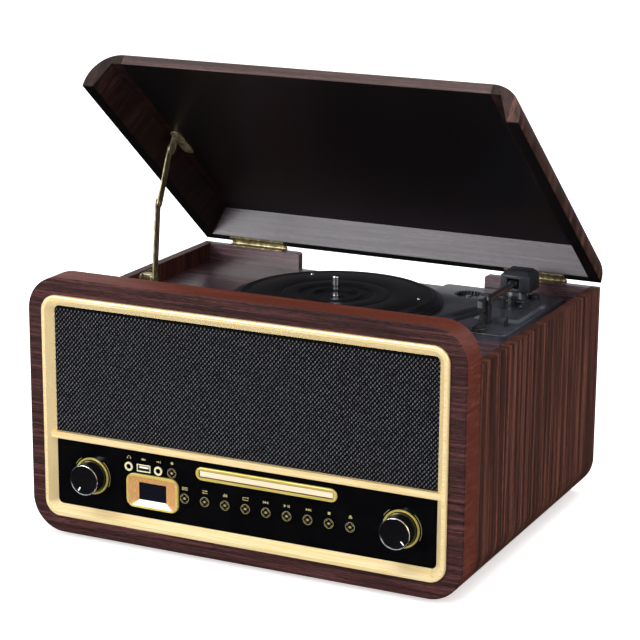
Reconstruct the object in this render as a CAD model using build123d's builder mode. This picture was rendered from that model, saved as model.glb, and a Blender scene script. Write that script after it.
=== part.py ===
from build123d import *
from math import atan2, cos, degrees, hypot, radians, sin, sqrt
import os

os.makedirs("parts", exist_ok=True)

# A record player, CD player and radio in one veneered wooden case, stored with its lid up.
# Millimetres. X is to the right, Y to the rear, Z up. Z = 0 is the surface the feet stand on.

# ---- case -------------------------------------------------------------------------------
width = 440.0              # overall width, across the front panel and the sides
depth = 345.6              # front panel's face to the rear wall's outside
panel_h = 248.0            # height of the front panel
panel_t = 30.4             # thickness of the front panel
wall_h = 209.4             # height of the sides and the rear wall
wall_t = 9.0               # board thickness of sides, base, rear and tray floor
corner_r = 33.0            # rounded corners of the front panel, and long edges of case and lid
panel_chamfer = 1.2        # eased front edge of the front panel
foot_h = 4.0
foot_r = 11.0
foot_inset = 52.0
floor_h = 191.3            # top of the tray floor above the case's underside
batten = 14.0              # square battens under the tray floor
gap = 0.3                  # clearance round a loose fit
notch_left = -106.0        # cut-out in the rear wall that lets a long-playing record overhang
notch_right = 101.5
notch_r = 3.0

# ---- lid --------------------------------------------------------------------------------
open_angle = 38.8          # angle the lid stands open at
lid_front_gap = 2.0        # between the front panel and the closed lid
lid_board_t = 10.0
lid_rim_t = 10.7           # rail thickness at the rim
lid_rail_top_t = 22.75     # rail thickness under the lid board
lid_rise = 2.1             # rim of the closed lid above the wall, where the hinge leaves lie
hinge_back = 2.6           # hinge axis behind the rear wall
hinge_up = 0.53            # hinge axis above the wall's top edge
hinge_in_left = 62.5       # centre of each hinge, in from that side of the case
hinge_in_right = 68.0
hinge_len = 63.0
leaf_t = 1.0
leaf_reach = 8.5
knuckles = 6
knuckle_gap = 0.25
barrel_r = 2.4
hinge_pin_r = 1.2
pin_fit = 0.05             # radial clearance of a pin or shaft in its hole

# ---- lid stay ---------------------------------------------------------------------------
stay_low_ahead = 155.6     # lower pivot, in front of the hinge axis
stay_low_drop = 4.0        # lower pivot, below the wall's top edge
stay_high_ahead = 174.0    # upper pivot, in front of the hinge axis along the lid
stay_high_up = 15.5        # upper pivot, above the hinge axis square to the lid
stay_lower_len = 75.0
stay_slack = 1.5           # how much longer the two arms are than the open pivot distance
stay_arm_w = 9.0
stay_arm_t = 1.6
stay_gap = 0.35
stay_plane_in = 15.0       # outer face of the lower arm, in from the side wall's inner face
rivet_r = 2.0

# ---- front panel insert -----------------------------------------------------------------
bezel_in_side = 15.6       # bezel's outer edge, in from the front panel's edges
bezel_in_top = 16.4
bezel_in_bottom = 16.9
bezel_r = 15.5
bezel_w = 10.8
bezel_proud = 3.4
bezel_land = 4.2           # width of the flat crest before the inner slope
bezel_lip = 4.0            # overlap of the bezel on the wood
window_r = 5.0
recess = 4.0               # depth of the grille and the control panel behind the wood's face
divider_z = 96.0           # centre of the bar between grille and control panel
divider_h = 7.0
divider_proud = 0.5
grille_t = 5.0
baffle_t = 9.0
pocket_depth = 18.0        # depth of the pocket that takes the bezel, grille and baffle
fascia_t = 3.0

# ---- speakers ---------------------------------------------------------------------------
speaker_x = 112.0
speaker_z = 139.0
speaker_r = 38.0
speaker_depth = 34.0
magnet_r = 25.0

# ---- controls (positions on the control panel) ------------------------------------------
knob_left_x = -156.5
knob_right_x = 159.5
pointer_left = 210.0       # pointer of each knob, clockwise from straight up
pointer_right = 135.0
knob_z = 59.6
knob_r = 15.3
knob_len = 15.6
knob_ring_r = 17.8
knob_ring_t = 0.8
shaft_r = 3.0
button_r = 4.9
button_row_z = 53.2
button_first_x = -57.3
button_pitch = 20.97
button_proud = 0.8
button_travel = 0.7
socket_row_z = 75.5
socket_first_x = -115.4
socket_pitch = 14.97
jack_r = 1.75
jack_ring_r = 4.5
jack_depth = 14.0
usb_w = 12.5
usb_h = 5.2
display_x = -91.2
display_z = 53.3
display_w = 55.0
display_h = 33.0
display_r = 9.0
display_proud = 2.0
display_win_w = 29.0
display_win_h = 17.0
slot_x = 26.0
slot_z = 79.9
slot_w = 143.2
slot_h = 12.7
slot_open_w = 136.2
slot_open_h = 7.0
slot_proud = 1.4
tray_depth = 140.0
disc_r = 60.0

# ---- turntable --------------------------------------------------------------------------
spindle_x = -6.5
spindle_y = 217.0          # behind the front panel's face
spindle_r = 3.55           # free end, for a record's centre hole
spindle_root_r = 3.8       # thicker root that the platter turns on
spindle_top = 224.0        # above the case's underside
deck_t = 6.2
deck_right = 188.0
deck_left = 62.0
deck_front = 172.0
deck_back = 334.0
deck_disc_r = 92.0
platter_r = 100.0
platter_top = 205.5
platter_mat_r = 94.5
flange_r = 105.0           # foot of the platter's rim
drive_ring_r = 72.0
pulley_r = 5.0
pulley_angle = -60.0
pulley_from_centre = 84.5
belt_t = 0.8
belt_w = 3.0
motor_r = 17.5
motor_h = 26.0
stud_r = 2.2
stud_circle_r = 82.5

# ---- tonearm ----------------------------------------------------------------------------
arm_x = 153.0
arm_y = 288.0
arm_z = 218.5
turret_r = 10.5
tube_w = 5.2
tube_len = 86.0
head_len = 72.0
head_w = 15.0
head_angle = 19.0
head_drop = 6.0
rest_y = 204.0

# ---- derived places ---------------------------------------------------------------------
hinge_gap_y = depth + hinge_back
phi = radians(open_angle)
lid_h = panel_h - wall_h - lid_rise
lid_top_rel = panel_h - wall_h - hinge_up
rear_reach = hinge_gap_y - hinge_back * cos(phi) + lid_top_rel * sin(phi)
knob_reach = knob_len - recess
front_y = -(rear_reach - knob_reach) / 2
base_z = foot_h
wall_top = base_z + wall_h
floor_top = base_z + floor_h
half_w = width / 2
inner_x = half_w - wall_t
hinge_x = (hinge_in_left - half_w, half_w - hinge_in_right)
stay_y = hinge_gap_y - stay_low_ahead
stay_z = wall_h - stay_low_drop
stay_lid_y = hinge_gap_y - stay_high_ahead * cos(phi) + stay_high_up * sin(phi)
stay_lid_z = wall_h + hinge_up + stay_high_ahead * sin(phi) + stay_high_up * cos(phi)
hinge_y = front_y + hinge_gap_y
hinge_z = wall_top + hinge_up
back_y = front_y + depth
pulley_x = spindle_x + pulley_from_centre * cos(radians(pulley_angle))
pulley_y = spindle_y + pulley_from_centre * sin(radians(pulley_angle))


def save(builder, name):
    builder.part.label = name
    export_step(builder.part, f"parts/{name}.step")


def facing(behind, x=0.0, z=0.0):
    """Plane that faces the front, at this distance behind the front panel's face."""
    return Plane(origin=(x, front_y + behind, z), x_dir=(1, 0, 0), z_dir=(0, -1, 0))


def level(z, x=0.0, y=0.0):
    """Horizontal plane at height z above the case's underside, x and y from the front centre."""
    return Plane(origin=(x, front_y + y, base_z + z), x_dir=(1, 0, 0), z_dir=(0, 0, 1))


def across(x):
    """Plane that faces right, with local x to the rear and local y up, from the front bottom."""
    return Plane(origin=(x, front_y, base_z), x_dir=(0, 1, 0), z_dir=(1, 0, 0))


lid_back_dir = Vector(0, cos(phi), -sin(phi))
lid_up_dir = Vector(0, sin(phi), cos(phi))
lid_origin = Vector(0, hinge_y, hinge_z)


def lid_facing(back):
    """Plane across the lid that faces the lid's front, this far behind the hinge axis."""
    return Plane(origin=lid_origin + lid_back_dir * back, x_dir=(1, 0, 0), z_dir=-lid_back_dir)


def lid_level(up):
    """Plane level with the lid board, this far above the hinge axis."""
    return Plane(origin=lid_origin + lid_up_dir * up, x_dir=(1, 0, 0), z_dir=lid_up_dir)


def lid_across(x):
    """Plane that faces right in the lid's own frame, from the hinge axis."""
    return Plane(origin=lid_origin + Vector(x, 0, 0), x_dir=lid_back_dir, z_dir=(1, 0, 0))


# ---- front panel ------------------------------------------------------------------------
bezel_out_w = width - 2 * bezel_in_side
bezel_out_h = panel_h - bezel_in_top - bezel_in_bottom
bezel_z = base_z + (bezel_in_bottom + panel_h - bezel_in_top) / 2
pocket_w = bezel_out_w - 2 * bezel_lip
pocket_h = bezel_out_h - 2 * bezel_lip
pocket_low = bezel_in_bottom + bezel_lip
through_top = floor_h - wall_t - 2.0

with BuildPart() as front_panel:
    with BuildSketch(facing(0)):
        with Locations((0, base_z + panel_h / 2)):
            RectangleRounded(width, panel_h, corner_r)
    extrude(amount=-panel_t)
    chamfer(front_panel.faces().sort_by(Axis.Y)[0].edges(), panel_chamfer)
    with BuildSketch(facing(0)):
        with Locations((0, bezel_z)):
            RectangleRounded(pocket_w, pocket_h, bezel_r - bezel_lip)
    extrude(amount=-pocket_depth, mode=Mode.SUBTRACT)
    with BuildSketch(facing(0)):
        with Locations((0, base_z + (pocket_low + through_top) / 2)):
            RectangleRounded(pocket_w - 8.0, through_top - pocket_low, bezel_r - bezel_lip)
    extrude(amount=-panel_t, mode=Mode.SUBTRACT)
save(front_panel, "front_panel")

# ---- sides, base, rear wall, tray floor -------------------------------------------------
side_len = depth - panel_t


def side_board(side):
    """One side: a flat wall whose lower edge turns under in a quarter round."""
    with BuildPart() as board:
        with BuildSketch(facing(panel_t)):
            with BuildLine():
                top_out = (side * half_w, wall_top)
                bend_out = (side * half_w, base_z + corner_r)
                end_out = (side * (half_w - corner_r), base_z)
                end_in = (side * (half_w - corner_r), base_z + wall_t)
                bend_in = (side * inner_x, base_z + corner_r)
                top_in = (side * inner_x, wall_top)
                Line(top_out, bend_out)
                RadiusArc(bend_out, end_out, side * corner_r)
                Line(end_out, end_in)
                RadiusArc(end_in, bend_in, -side * (corner_r - wall_t))
                Line(bend_in, top_in)
                Line(top_in, top_out)
            make_face()
        extrude(amount=-side_len)
    return board


save(side_board(-1), "side_left")
save(side_board(1), "side_right")

base_w = width - 2 * corner_r
with BuildPart() as base_board:
    with BuildSketch(level(0)):
        with Locations((0, panel_t + side_len / 2)):
            Rectangle(base_w, side_len)
    extrude(amount=wall_t)
save(base_board, "base_board")

socket_panel_w = 150.0
socket_panel_h = 46.0
socket_panel_z = 60.0
vent_w = 46.0
with BuildPart() as rear_wall:
    with BuildSketch(facing(depth)):
        with BuildLine():
            low = base_z + wall_t
            bend = base_z + corner_r
            Line((-inner_x, wall_top), (-inner_x, bend))
            RadiusArc((-inner_x, bend), (-half_w + corner_r, low), -(corner_r - wall_t))
            Line((-half_w + corner_r, low), (half_w - corner_r, low))
            RadiusArc((half_w - corner_r, low), (inner_x, bend), -(corner_r - wall_t))
            Line((inner_x, bend), (inner_x, wall_top))
            Line((inner_x, wall_top), (-inner_x, wall_top))
        make_face()
    extrude(amount=wall_t)
    with BuildSketch(facing(depth)):
        with Locations(((notch_left + notch_right) / 2, (floor_top + wall_top) / 2 + notch_r)):
            Rectangle(notch_right - notch_left, wall_top - floor_top + 2 * notch_r)
    extrude(amount=wall_t, mode=Mode.SUBTRACT)
    with BuildSketch(facing(depth)):
        with Locations((0, base_z + socket_panel_z)):
            Rectangle(socket_panel_w - 16.0, socket_panel_h - 12.0)
        with Locations((0, base_z + 140.0)):
            with GridLocations(vent_w + 12.0, 9.0, 4, 5):
                SlotOverall(vent_w, 3.0)
    extrude(amount=wall_t, mode=Mode.SUBTRACT)
    fillet(rear_wall.edges().filter_by(Axis.Y).group_by(Axis.Z)[-1].sort_by(Axis.X)[1:3], notch_r)
save(rear_wall, "rear_wall")

with BuildPart() as socket_panel:
    with BuildSketch(facing(depth)):
        with Locations((0, base_z + socket_panel_z)):
            RectangleRounded(socket_panel_w, socket_panel_h, 4.0)
    extrude(amount=-2.0)
    with BuildSketch(facing(depth)):
        with Locations((0, base_z + socket_panel_z)):
            Rectangle(socket_panel_w - 16.0 - 2 * gap, socket_panel_h - 12.0 - 2 * gap)
    extrude(amount=6.0)
    with BuildSketch(facing(depth + 2.0)):
        with Locations((-45.0, base_z + socket_panel_z - 8.0), (-45.0, base_z + socket_panel_z + 8.0)):
            Circle(4.15)
    extrude(amount=-8.0)
    with BuildSketch(facing(depth + 10.0)):
        with Locations((-45.0, base_z + socket_panel_z - 8.0), (-45.0, base_z + socket_panel_z + 8.0)):
            Circle(1.6)
    extrude(amount=12.0, mode=Mode.SUBTRACT)
    with BuildSketch(facing(depth + 2.0)):
        with Locations((0, base_z + socket_panel_z)):
            Circle(5.5)
    extrude(amount=-1.5)
    with BuildSketch(facing(depth + 3.5)):
        with Locations((0, base_z + socket_panel_z)):
            Circle(2.75)
    extrude(amount=8.0, mode=Mode.SUBTRACT)
    with BuildSketch(facing(depth + 2.0)):
        with Locations((45.0, base_z + socket_panel_z)):
            RectangleRounded(20.0, 14.0, 1.5)
    extrude(amount=-2.0)
save(socket_panel, "socket_panel")

# The deck plate's outline: a disc under the platter and a rectangle that carries the tonearm.
deck_mid = ((deck_left + deck_right) / 2, (deck_front + deck_back) / 2)
deck_size = (deck_right - deck_left, deck_back - deck_front)


def deck_outline(margin):
    """Draws the deck plate's outline, drawn in by a margin, in the active sketch."""
    with Locations((spindle_x, spindle_y)):
        Circle(deck_disc_r - margin)
    with Locations(deck_mid):
        RectangleRounded(deck_size[0] - 2 * margin, deck_size[1] - 2 * margin, 6.0)
    inner_left = spindle_x + deck_disc_r * 0.5
    with Locations(((inner_left + deck_mid[0]) / 2, deck_mid[1])):
        Rectangle(deck_mid[0] - inner_left, 70.0)


floor_w = 2 * (inner_x - gap)
floor_front = panel_t + gap
floor_back = depth - wall_t - gap
with BuildPart() as tray_floor:
    with BuildSketch(level(floor_h)):
        with Locations((0, (floor_front + floor_back) / 2)):
            Rectangle(floor_w, floor_back - floor_front)
    extrude(amount=-wall_t)
    with BuildSketch(level(floor_h)):
        deck_outline(12.0)
        with Locations((pulley_x, pulley_y)):
            Circle(motor_r + 2.0)
    extrude(amount=-wall_t, mode=Mode.SUBTRACT)
save(tray_floor, "tray_floor")

with BuildPart() as floor_battens:
    with BuildSketch(level(floor_h - wall_t)):
        with Locations((-inner_x + batten / 2, (floor_front + floor_back) / 2),
                       (inner_x - batten / 2, (floor_front + floor_back) / 2)):
            Rectangle(batten, floor_back - floor_front)
    extrude(amount=-batten)
save(floor_battens, "floor_battens")

with BuildPart() as feet:
    with BuildSketch(Plane.XY):
        with Locations((0, front_y + depth / 2)):
            with GridLocations(width - 2 * foot_inset, depth - 2 * foot_inset, 2, 2):
                Circle(foot_r)
    extrude(amount=foot_h)
    chamfer(feet.faces().filter_by(Axis.Z).group_by(Axis.Z)[0].edges(), 0.8)
save(feet, "feet")

# ---- gold bezel with its divider --------------------------------------------------------
win_w = bezel_out_w - 2 * bezel_w
win_h = bezel_out_h - 2 * bezel_w
slope = bezel_w - bezel_land
divider_top = divider_z + divider_h / 2
divider_bottom = divider_z - divider_h / 2
divider_len = win_w + 2 * bezel_w - 2 * bezel_land - 4.0
with BuildPart() as bezel:
    with BuildSketch(facing(0)):
        with Locations((0, bezel_z)):
            RectangleRounded(bezel_out_w, bezel_out_h, bezel_r)
    extrude(amount=bezel_proud)
    fillet(bezel.faces().sort_by(Axis.Y)[0].edges(), 1.9)
    with BuildSketch(facing(0)):
        with Locations((0, bezel_z)):
            RectangleRounded(pocket_w - 2 * gap, pocket_h - 2 * gap, bezel_r - bezel_lip)
    extrude(amount=-recess)
    with BuildSketch(facing(recess)):
        with Locations((0, bezel_z)):
            RectangleRounded(win_w, win_h, window_r)
    with BuildSketch(facing(-bezel_proud)):
        with Locations((0, bezel_z)):
            RectangleRounded(win_w + 2 * slope, win_h + 2 * slope, window_r + slope)
    loft(mode=Mode.SUBTRACT)
    with BuildSketch(across(-divider_len / 2)):
        with Locations(((recess - divider_proud) / 2, divider_z)):
            divider_face = Rectangle(recess + divider_proud, divider_h)
        fillet(divider_face.vertices().group_by(Axis.Y)[0], 2.0)
    extrude(amount=divider_len)
save(bezel, "bezel")

# ---- grille cloth board, baffle, speakers -----------------------------------------------
insert_w = pocket_w - 2 * gap
grille_low = divider_z + gap / 2
grille_high = bezel_in_bottom + bezel_out_h - bezel_lip - gap
grille_mid = base_z + (grille_low + grille_high) / 2


def upper_insert(behind, thick, speaker_holes):
    """Board that fills the upper part of the pocket, with two rounded top corners."""
    with BuildPart() as board:
        with BuildSketch(facing(behind)):
            with Locations((0, grille_mid)):
                Rectangle(insert_w, grille_high - grille_low)
        extrude(amount=-thick)
        upright = board.edges().filter_by(Axis.Y).group_by(Axis.Z)[-1]
        fillet(upright, bezel_r - bezel_lip - gap)
        if speaker_holes:
            with BuildSketch(facing(behind)):
                with Locations((-speaker_x, base_z + speaker_z), (speaker_x, base_z + speaker_z)):
                    Circle(speaker_r - 4.0)
            extrude(amount=-thick, mode=Mode.SUBTRACT)
    return board


save(upper_insert(recess, grille_t, False), "grille")
save(upper_insert(recess + grille_t, baffle_t, True), "baffle")

speaker_face = recess + grille_t + baffle_t
for side, name in ((-1, "speaker_left"), (1, "speaker_right")):
    axis_place = facing(speaker_face, side * speaker_x, base_z + speaker_z)
    with BuildPart() as speaker:
        with BuildSketch(Plane(origin=axis_place.origin, x_dir=(1, 0, 0), z_dir=(0, 0, 1))):
            with BuildLine():
                Polyline((0, 6.0), (14.0, 6.0), (32.0, 0.6), (speaker_r, 0), (speaker_r, 3.0), (34.0, 3.0),
                         (magnet_r - 2.0, 18.0), (magnet_r, 18.0), (magnet_r, speaker_depth),
                         (0, speaker_depth), (0, 6.0))
            make_face()
        revolve(axis=Axis(axis_place.origin, (0, 1, 0)))
    save(speaker, name)

# ---- control panel ----------------------------------------------------------------------
fascia_low = bezel_in_bottom + bezel_lip + gap
fascia_high = divider_z - gap / 2
fascia_mid = base_z + (fascia_low + fascia_high) / 2
button_names = ("mode", "source", "equaliser", "repeat", "previous", "play", "next", "stop", "open")
button_places = [("record", socket_first_x + 3 * socket_pitch, socket_row_z)]
for index, name in enumerate(button_names):
    button_places.append((name, button_first_x + index * button_pitch, button_row_z))
button_points = [(x, base_z + z) for name, x, z in button_places]
jack_x = (socket_first_x, socket_first_x + 2 * socket_pitch)
jack_points = [(x, base_z + socket_row_z) for x in jack_x]
usb_x = socket_first_x + socket_pitch
knob_points = [(knob_left_x, base_z + knob_z), (knob_right_x, base_z + knob_z)]
jack_body_r = 5.2

with BuildPart() as control_panel:
    with BuildSketch(facing(recess)):
        with Locations((0, fascia_mid)):
            Rectangle(insert_w, fascia_high - fascia_low)
    extrude(amount=-fascia_t)
    lower = control_panel.edges().filter_by(Axis.Y).group_by(Axis.Z)[0]
    fillet(lower, bezel_r - bezel_lip - gap)
    with BuildSketch(facing(recess)):
        with Locations(*button_points):
            Circle(button_r + 0.15)
        with Locations(*jack_points):
            Circle(jack_ring_r + 0.1)
        with Locations(*knob_points):
            Circle(5.0)
        with Locations((usb_x, base_z + socket_row_z)):
            Rectangle(usb_w + 2 * gap, usb_h + 2 * gap)
        with Locations((display_x, base_z + display_z)):
            RectangleRounded(display_win_w + 12.0, display_win_h + 8.0, 3.0)
        with Locations((slot_x, base_z + slot_z)):
            RectangleRounded(slot_open_w, slot_open_h, 1.5)
    extrude(amount=-fascia_t, mode=Mode.SUBTRACT)
save(control_panel, "control_panel")

with BuildPart() as display_frame:
    with BuildSketch(facing(recess, display_x, base_z + display_z)):
        RectangleRounded(display_w, display_h, display_r)
    extrude(amount=display_proud)
    fillet(display_frame.faces().sort_by(Axis.Y)[0].edges(), 1.4)
    with BuildSketch(facing(recess - display_proud, display_x, base_z + display_z)):
        RectangleRounded(display_win_w + 9.0, display_win_h + 6.0, 4.0)
    with BuildSketch(facing(recess, display_x, base_z + display_z)):
        RectangleRounded(display_win_w, display_win_h, 1.5)
    loft(mode=Mode.SUBTRACT)
save(display_frame, "display_frame")

with BuildPart() as display_window:
    with BuildSketch(facing(recess + gap, display_x, base_z + display_z)):
        RectangleRounded(display_win_w + 12.0 - 2 * gap, display_win_h + 8.0 - 2 * gap, 2.7)
    extrude(amount=-4.0)
save(display_window, "display_window")

with BuildPart() as slot_frame:
    with BuildSketch(facing(recess, slot_x, base_z + slot_z)):
        SlotOverall(slot_w, slot_h)
        RectangleRounded(slot_open_w, slot_open_h, 1.5, mode=Mode.SUBTRACT)
    extrude(amount=slot_proud)
    fillet(slot_frame.faces().sort_by(Axis.Y)[0].outer_wire().edges(), 1.1)
save(slot_frame, "slot_frame")

with BuildPart() as knob_rings:
    with BuildSketch(facing(recess)):
        with Locations(*knob_points):
            Circle(knob_ring_r)
            Circle(knob_r + 0.7, mode=Mode.SUBTRACT)
    extrude(amount=knob_ring_t)
save(knob_rings, "knob_rings")


def knob(x, pointer):
    """A turned knob: tapered grip, sunk face disc, pointer notch and a bore for the shaft."""
    with BuildPart() as body:
        with BuildSketch(facing(recess - gap, x, base_z + knob_z)):
            Circle(knob_r + 0.4)
        extrude(amount=knob_len - gap, taper=1.2)
        fillet(body.faces().sort_by(Axis.Y)[0].edges(), 1.2)
        with BuildSketch(facing(recess - knob_len, x, base_z + knob_z)):
            Circle(knob_r - 2.6)
        extrude(amount=-0.5, mode=Mode.SUBTRACT)
        with BuildSketch(facing(recess - knob_len + 0.5, x, base_z + knob_z)):
            turn = radians(pointer)
            notch_at = ((knob_r - 5.6) * sin(turn), (knob_r - 5.6) * cos(turn))
            with Locations(Location(notch_at, 90.0 - pointer)):
                SlotOverall(3.6, 1.2)
        extrude(amount=-0.4, mode=Mode.SUBTRACT)
        with BuildSketch(facing(recess - gap, x, base_z + knob_z)):
            Circle(shaft_r + pin_fit)
        extrude(amount=10.0, mode=Mode.SUBTRACT)
    return body


save(knob(knob_left_x, pointer_left), "knob_volume")
save(knob(knob_right_x, pointer_right), "knob_tuning")

for name, x, z in button_places:
    with BuildPart() as button:
        with BuildSketch(facing(recess - button_proud, x, base_z + z)):
            Circle(button_r)
        extrude(amount=-(button_proud + fascia_t))
        fillet(button.faces().sort_by(Axis.Y)[0].edges(), 0.35)
        with BuildSketch(facing(recess + fascia_t, x, base_z + z)):
            Circle(button_r + 0.9)
        extrude(amount=-0.8)
        with BuildSketch(facing(recess + fascia_t + 0.8, x, base_z + z)):
            Circle(1.6)
        extrude(amount=-1.5)
    save(button, f"button_{name}")

with BuildPart() as audio_jacks:
    with BuildSketch(facing(recess - 0.8)):
        with Locations(*jack_points):
            Circle(jack_ring_r)
    extrude(amount=-(fascia_t + 0.8))
    with BuildSketch(facing(recess + fascia_t)):
        with Locations(*jack_points):
            Circle(jack_body_r)
    extrude(amount=-(jack_depth - fascia_t))
    with BuildSketch(facing(recess - 0.8)):
        with Locations(*jack_points):
            Circle(jack_r)
    extrude(amount=-jack_depth, mode=Mode.SUBTRACT)
save(audio_jacks, "audio_jacks")

with BuildPart() as data_port:
    with BuildSketch(facing(recess - 0.4, usb_x, base_z + socket_row_z)):
        Rectangle(usb_w, usb_h)
        Rectangle(usb_w - 0.9, usb_h - 0.9, mode=Mode.SUBTRACT)
    extrude(amount=-13.0)
    with BuildSketch(facing(recess + 12.0, usb_x, base_z + socket_row_z)):
        Rectangle(usb_w, usb_h)
    extrude(amount=-1.0)
    with BuildSketch(facing(recess + 0.6, usb_x, base_z + socket_row_z)):
        with Locations((0, 0.9)):
            Rectangle(usb_w - 2.0, 1.6)
    extrude(amount=-12.4)
save(data_port, "data_port")

# ---- circuit boards ---------------------------------------------------------------------
board_front = recess + fascia_t + 0.8 + 1.5 + button_travel + 1.2
with BuildPart() as circuit_boards:
    with BuildSketch(facing(board_front)):
        with Locations((0, base_z + 46.0)):
            Rectangle(370.0, 46.0)
        with Locations((-92.0, base_z + 62.0)):
            Rectangle(70.0, 44.0)
        with Locations(*jack_points):
            Circle(jack_body_r + gap, mode=Mode.SUBTRACT)
        with Locations((usb_x, base_z + socket_row_z)):
            Rectangle(usb_w + 1.0, usb_h + 1.0, mode=Mode.SUBTRACT)
    extrude(amount=-1.6)
    with BuildSketch(facing(board_front)):
        with Locations(*button_points):
            Rectangle(5.0, 5.0)
    extrude(amount=0.9)
    with BuildSketch(facing(board_front)):
        with Locations(*knob_points):
            Circle(7.5)
    extrude(amount=4.0)
    with BuildSketch(facing(board_front)):
        with Locations(*knob_points):
            Circle(shaft_r)
    extrude(amount=board_front - recess + 8.0)
    with BuildSketch(level(wall_t + 5.0)):
        with Locations((-90.0, 250.0)):
            Rectangle(150.0, 100.0)
    extrude(amount=1.6)
    with BuildSketch(level(wall_t)):
        with Locations((-90.0, 250.0)):
            with GridLocations(138.0, 88.0, 2, 2):
                Circle(3.0)
    extrude(amount=5.0)
    with BuildSketch(level(wall_t + 6.6)):
        with Locations((-60.0, 285.0)):
            Rectangle(60.0, 12.0)
        with Locations((-120.0, 240.0), (-120.0, 262.0), (-98.0, 240.0)):
            Circle(8.0)
    extrude(amount=22.0)
save(circuit_boards, "circuit_boards")

# ---- disc drive -------------------------------------------------------------------------
tray_w = slot_open_w - 2 * gap - 1.2
tray_h = 5.2
tray_low = slot_z - tray_h / 2
drive_w = 150.0
drive_front = board_front + 4.0
drive_back = drive_front + tray_depth + 12.0
with BuildPart() as disc_drive:
    with BuildSketch(level(tray_low - 16.0, slot_x)):
        with Locations((0, (drive_front + drive_back) / 2)):
            Rectangle(drive_w, drive_back - drive_front)
    extrude(amount=26.0)
    with BuildSketch(level(tray_low - 0.4, slot_x)):
        with Locations((0, (drive_front + drive_back) / 2 - 6.0)):
            Rectangle(tray_w + 0.8, drive_back - drive_front)
    extrude(amount=tray_h + 2.4, mode=Mode.SUBTRACT)
    with BuildSketch(level(wall_t, slot_x)):
        with Locations((0, (panel_t + drive_back) / 2)):
            with GridLocations(drive_w - 20.0, drive_back - panel_t - 16.0, 2, 2):
                Circle(5.0)
    extrude(amount=tray_low - 16.0 - wall_t)
save(disc_drive, "disc_drive")

with BuildPart() as disc_tray:
    with BuildSketch(level(tray_low, slot_x)):
        with Locations((0, recess - 0.5 + tray_depth / 2)):
            Rectangle(tray_w, tray_depth)
    extrude(amount=tray_h)
    disc_y = recess + 8.0 + disc_r
    with BuildSketch(level(tray_low + tray_h, slot_x)):
        with Locations((0, disc_y)):
            Circle(disc_r + 0.8)
    extrude(amount=-2.4, mode=Mode.SUBTRACT)
    with BuildSketch(level(tray_low + tray_h, slot_x)):
        with Locations((0, disc_y + 16.0)):
            SlotOverall(62.0, 34.0, rotation=90)
    extrude(amount=-tray_h, mode=Mode.SUBTRACT)
save(disc_tray, "disc_tray")

# ---- turntable deck ---------------------------------------------------------------------
speed_x = 160.0
speed_y = 178.0
switch_x = 176.0
switch_y = 207.0
adapter_x = 98.0
adapter_y = 303.0
adapter_r = 14.0
plateau_h = 3.0
with BuildPart() as deck_plate:
    with BuildSketch(level(floor_h)):
        deck_outline(0.0)
    extrude(amount=deck_t)
    fillet(deck_plate.faces().sort_by(Axis.Z)[-1].outer_wire().edges(), 1.2)
    with BuildSketch(level(floor_h)):
        deck_outline(15.0)
    extrude(amount=-5.0)
    with BuildSketch(level(floor_h + deck_t)):
        with Locations((arm_x, arm_y)):
            Circle(33.0)
    extrude(amount=plateau_h, taper=30)
    with BuildSketch(level(floor_h + deck_t)):
        with Locations((arm_x + 8.0, arm_y - 40.0)):
            Rectangle(46.0, 60.0)
    extrude(amount=plateau_h, taper=30)
    with BuildSketch(level(floor_h + deck_t)):
        with Locations((adapter_x, adapter_y)):
            Circle(adapter_r)
        with Locations((pulley_x, pulley_y)):
            Circle(pulley_r + 2.0)
    extrude(amount=-3.2, mode=Mode.SUBTRACT)
    with BuildSketch(level(floor_h - 5.0)):
        with Locations((pulley_x, pulley_y)):
            Circle(3.0)
        with Locations((spindle_x, spindle_y)):
            Circle(spindle_root_r)
        with Locations((switch_x, switch_y)):
            SlotOverall(12.0, 3.4, rotation=90)
        with Locations((speed_x, speed_y)):
            Circle(3.0)
    extrude(amount=20.0, mode=Mode.SUBTRACT)
save(deck_plate, "deck_plate")

with BuildPart() as spindle:
    with BuildSketch(level(floor_h - 5.0, spindle_x, spindle_y)):
        Circle(spindle_root_r)
    extrude(amount=platter_top - 1.4 - floor_h + 5.0)
    with BuildSketch(level(platter_top - 1.4, spindle_x, spindle_y)):
        Circle(spindle_r)
    extrude(amount=spindle_top - platter_top + 1.4)
    fillet(spindle.faces().sort_by(Axis.Z)[-1].edges(), 2.4)
    with BuildSketch(level(floor_h - 5.0, spindle_x, spindle_y)):
        Circle(9.0)
    extrude(amount=-2.0)
save(spindle, "spindle")

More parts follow.
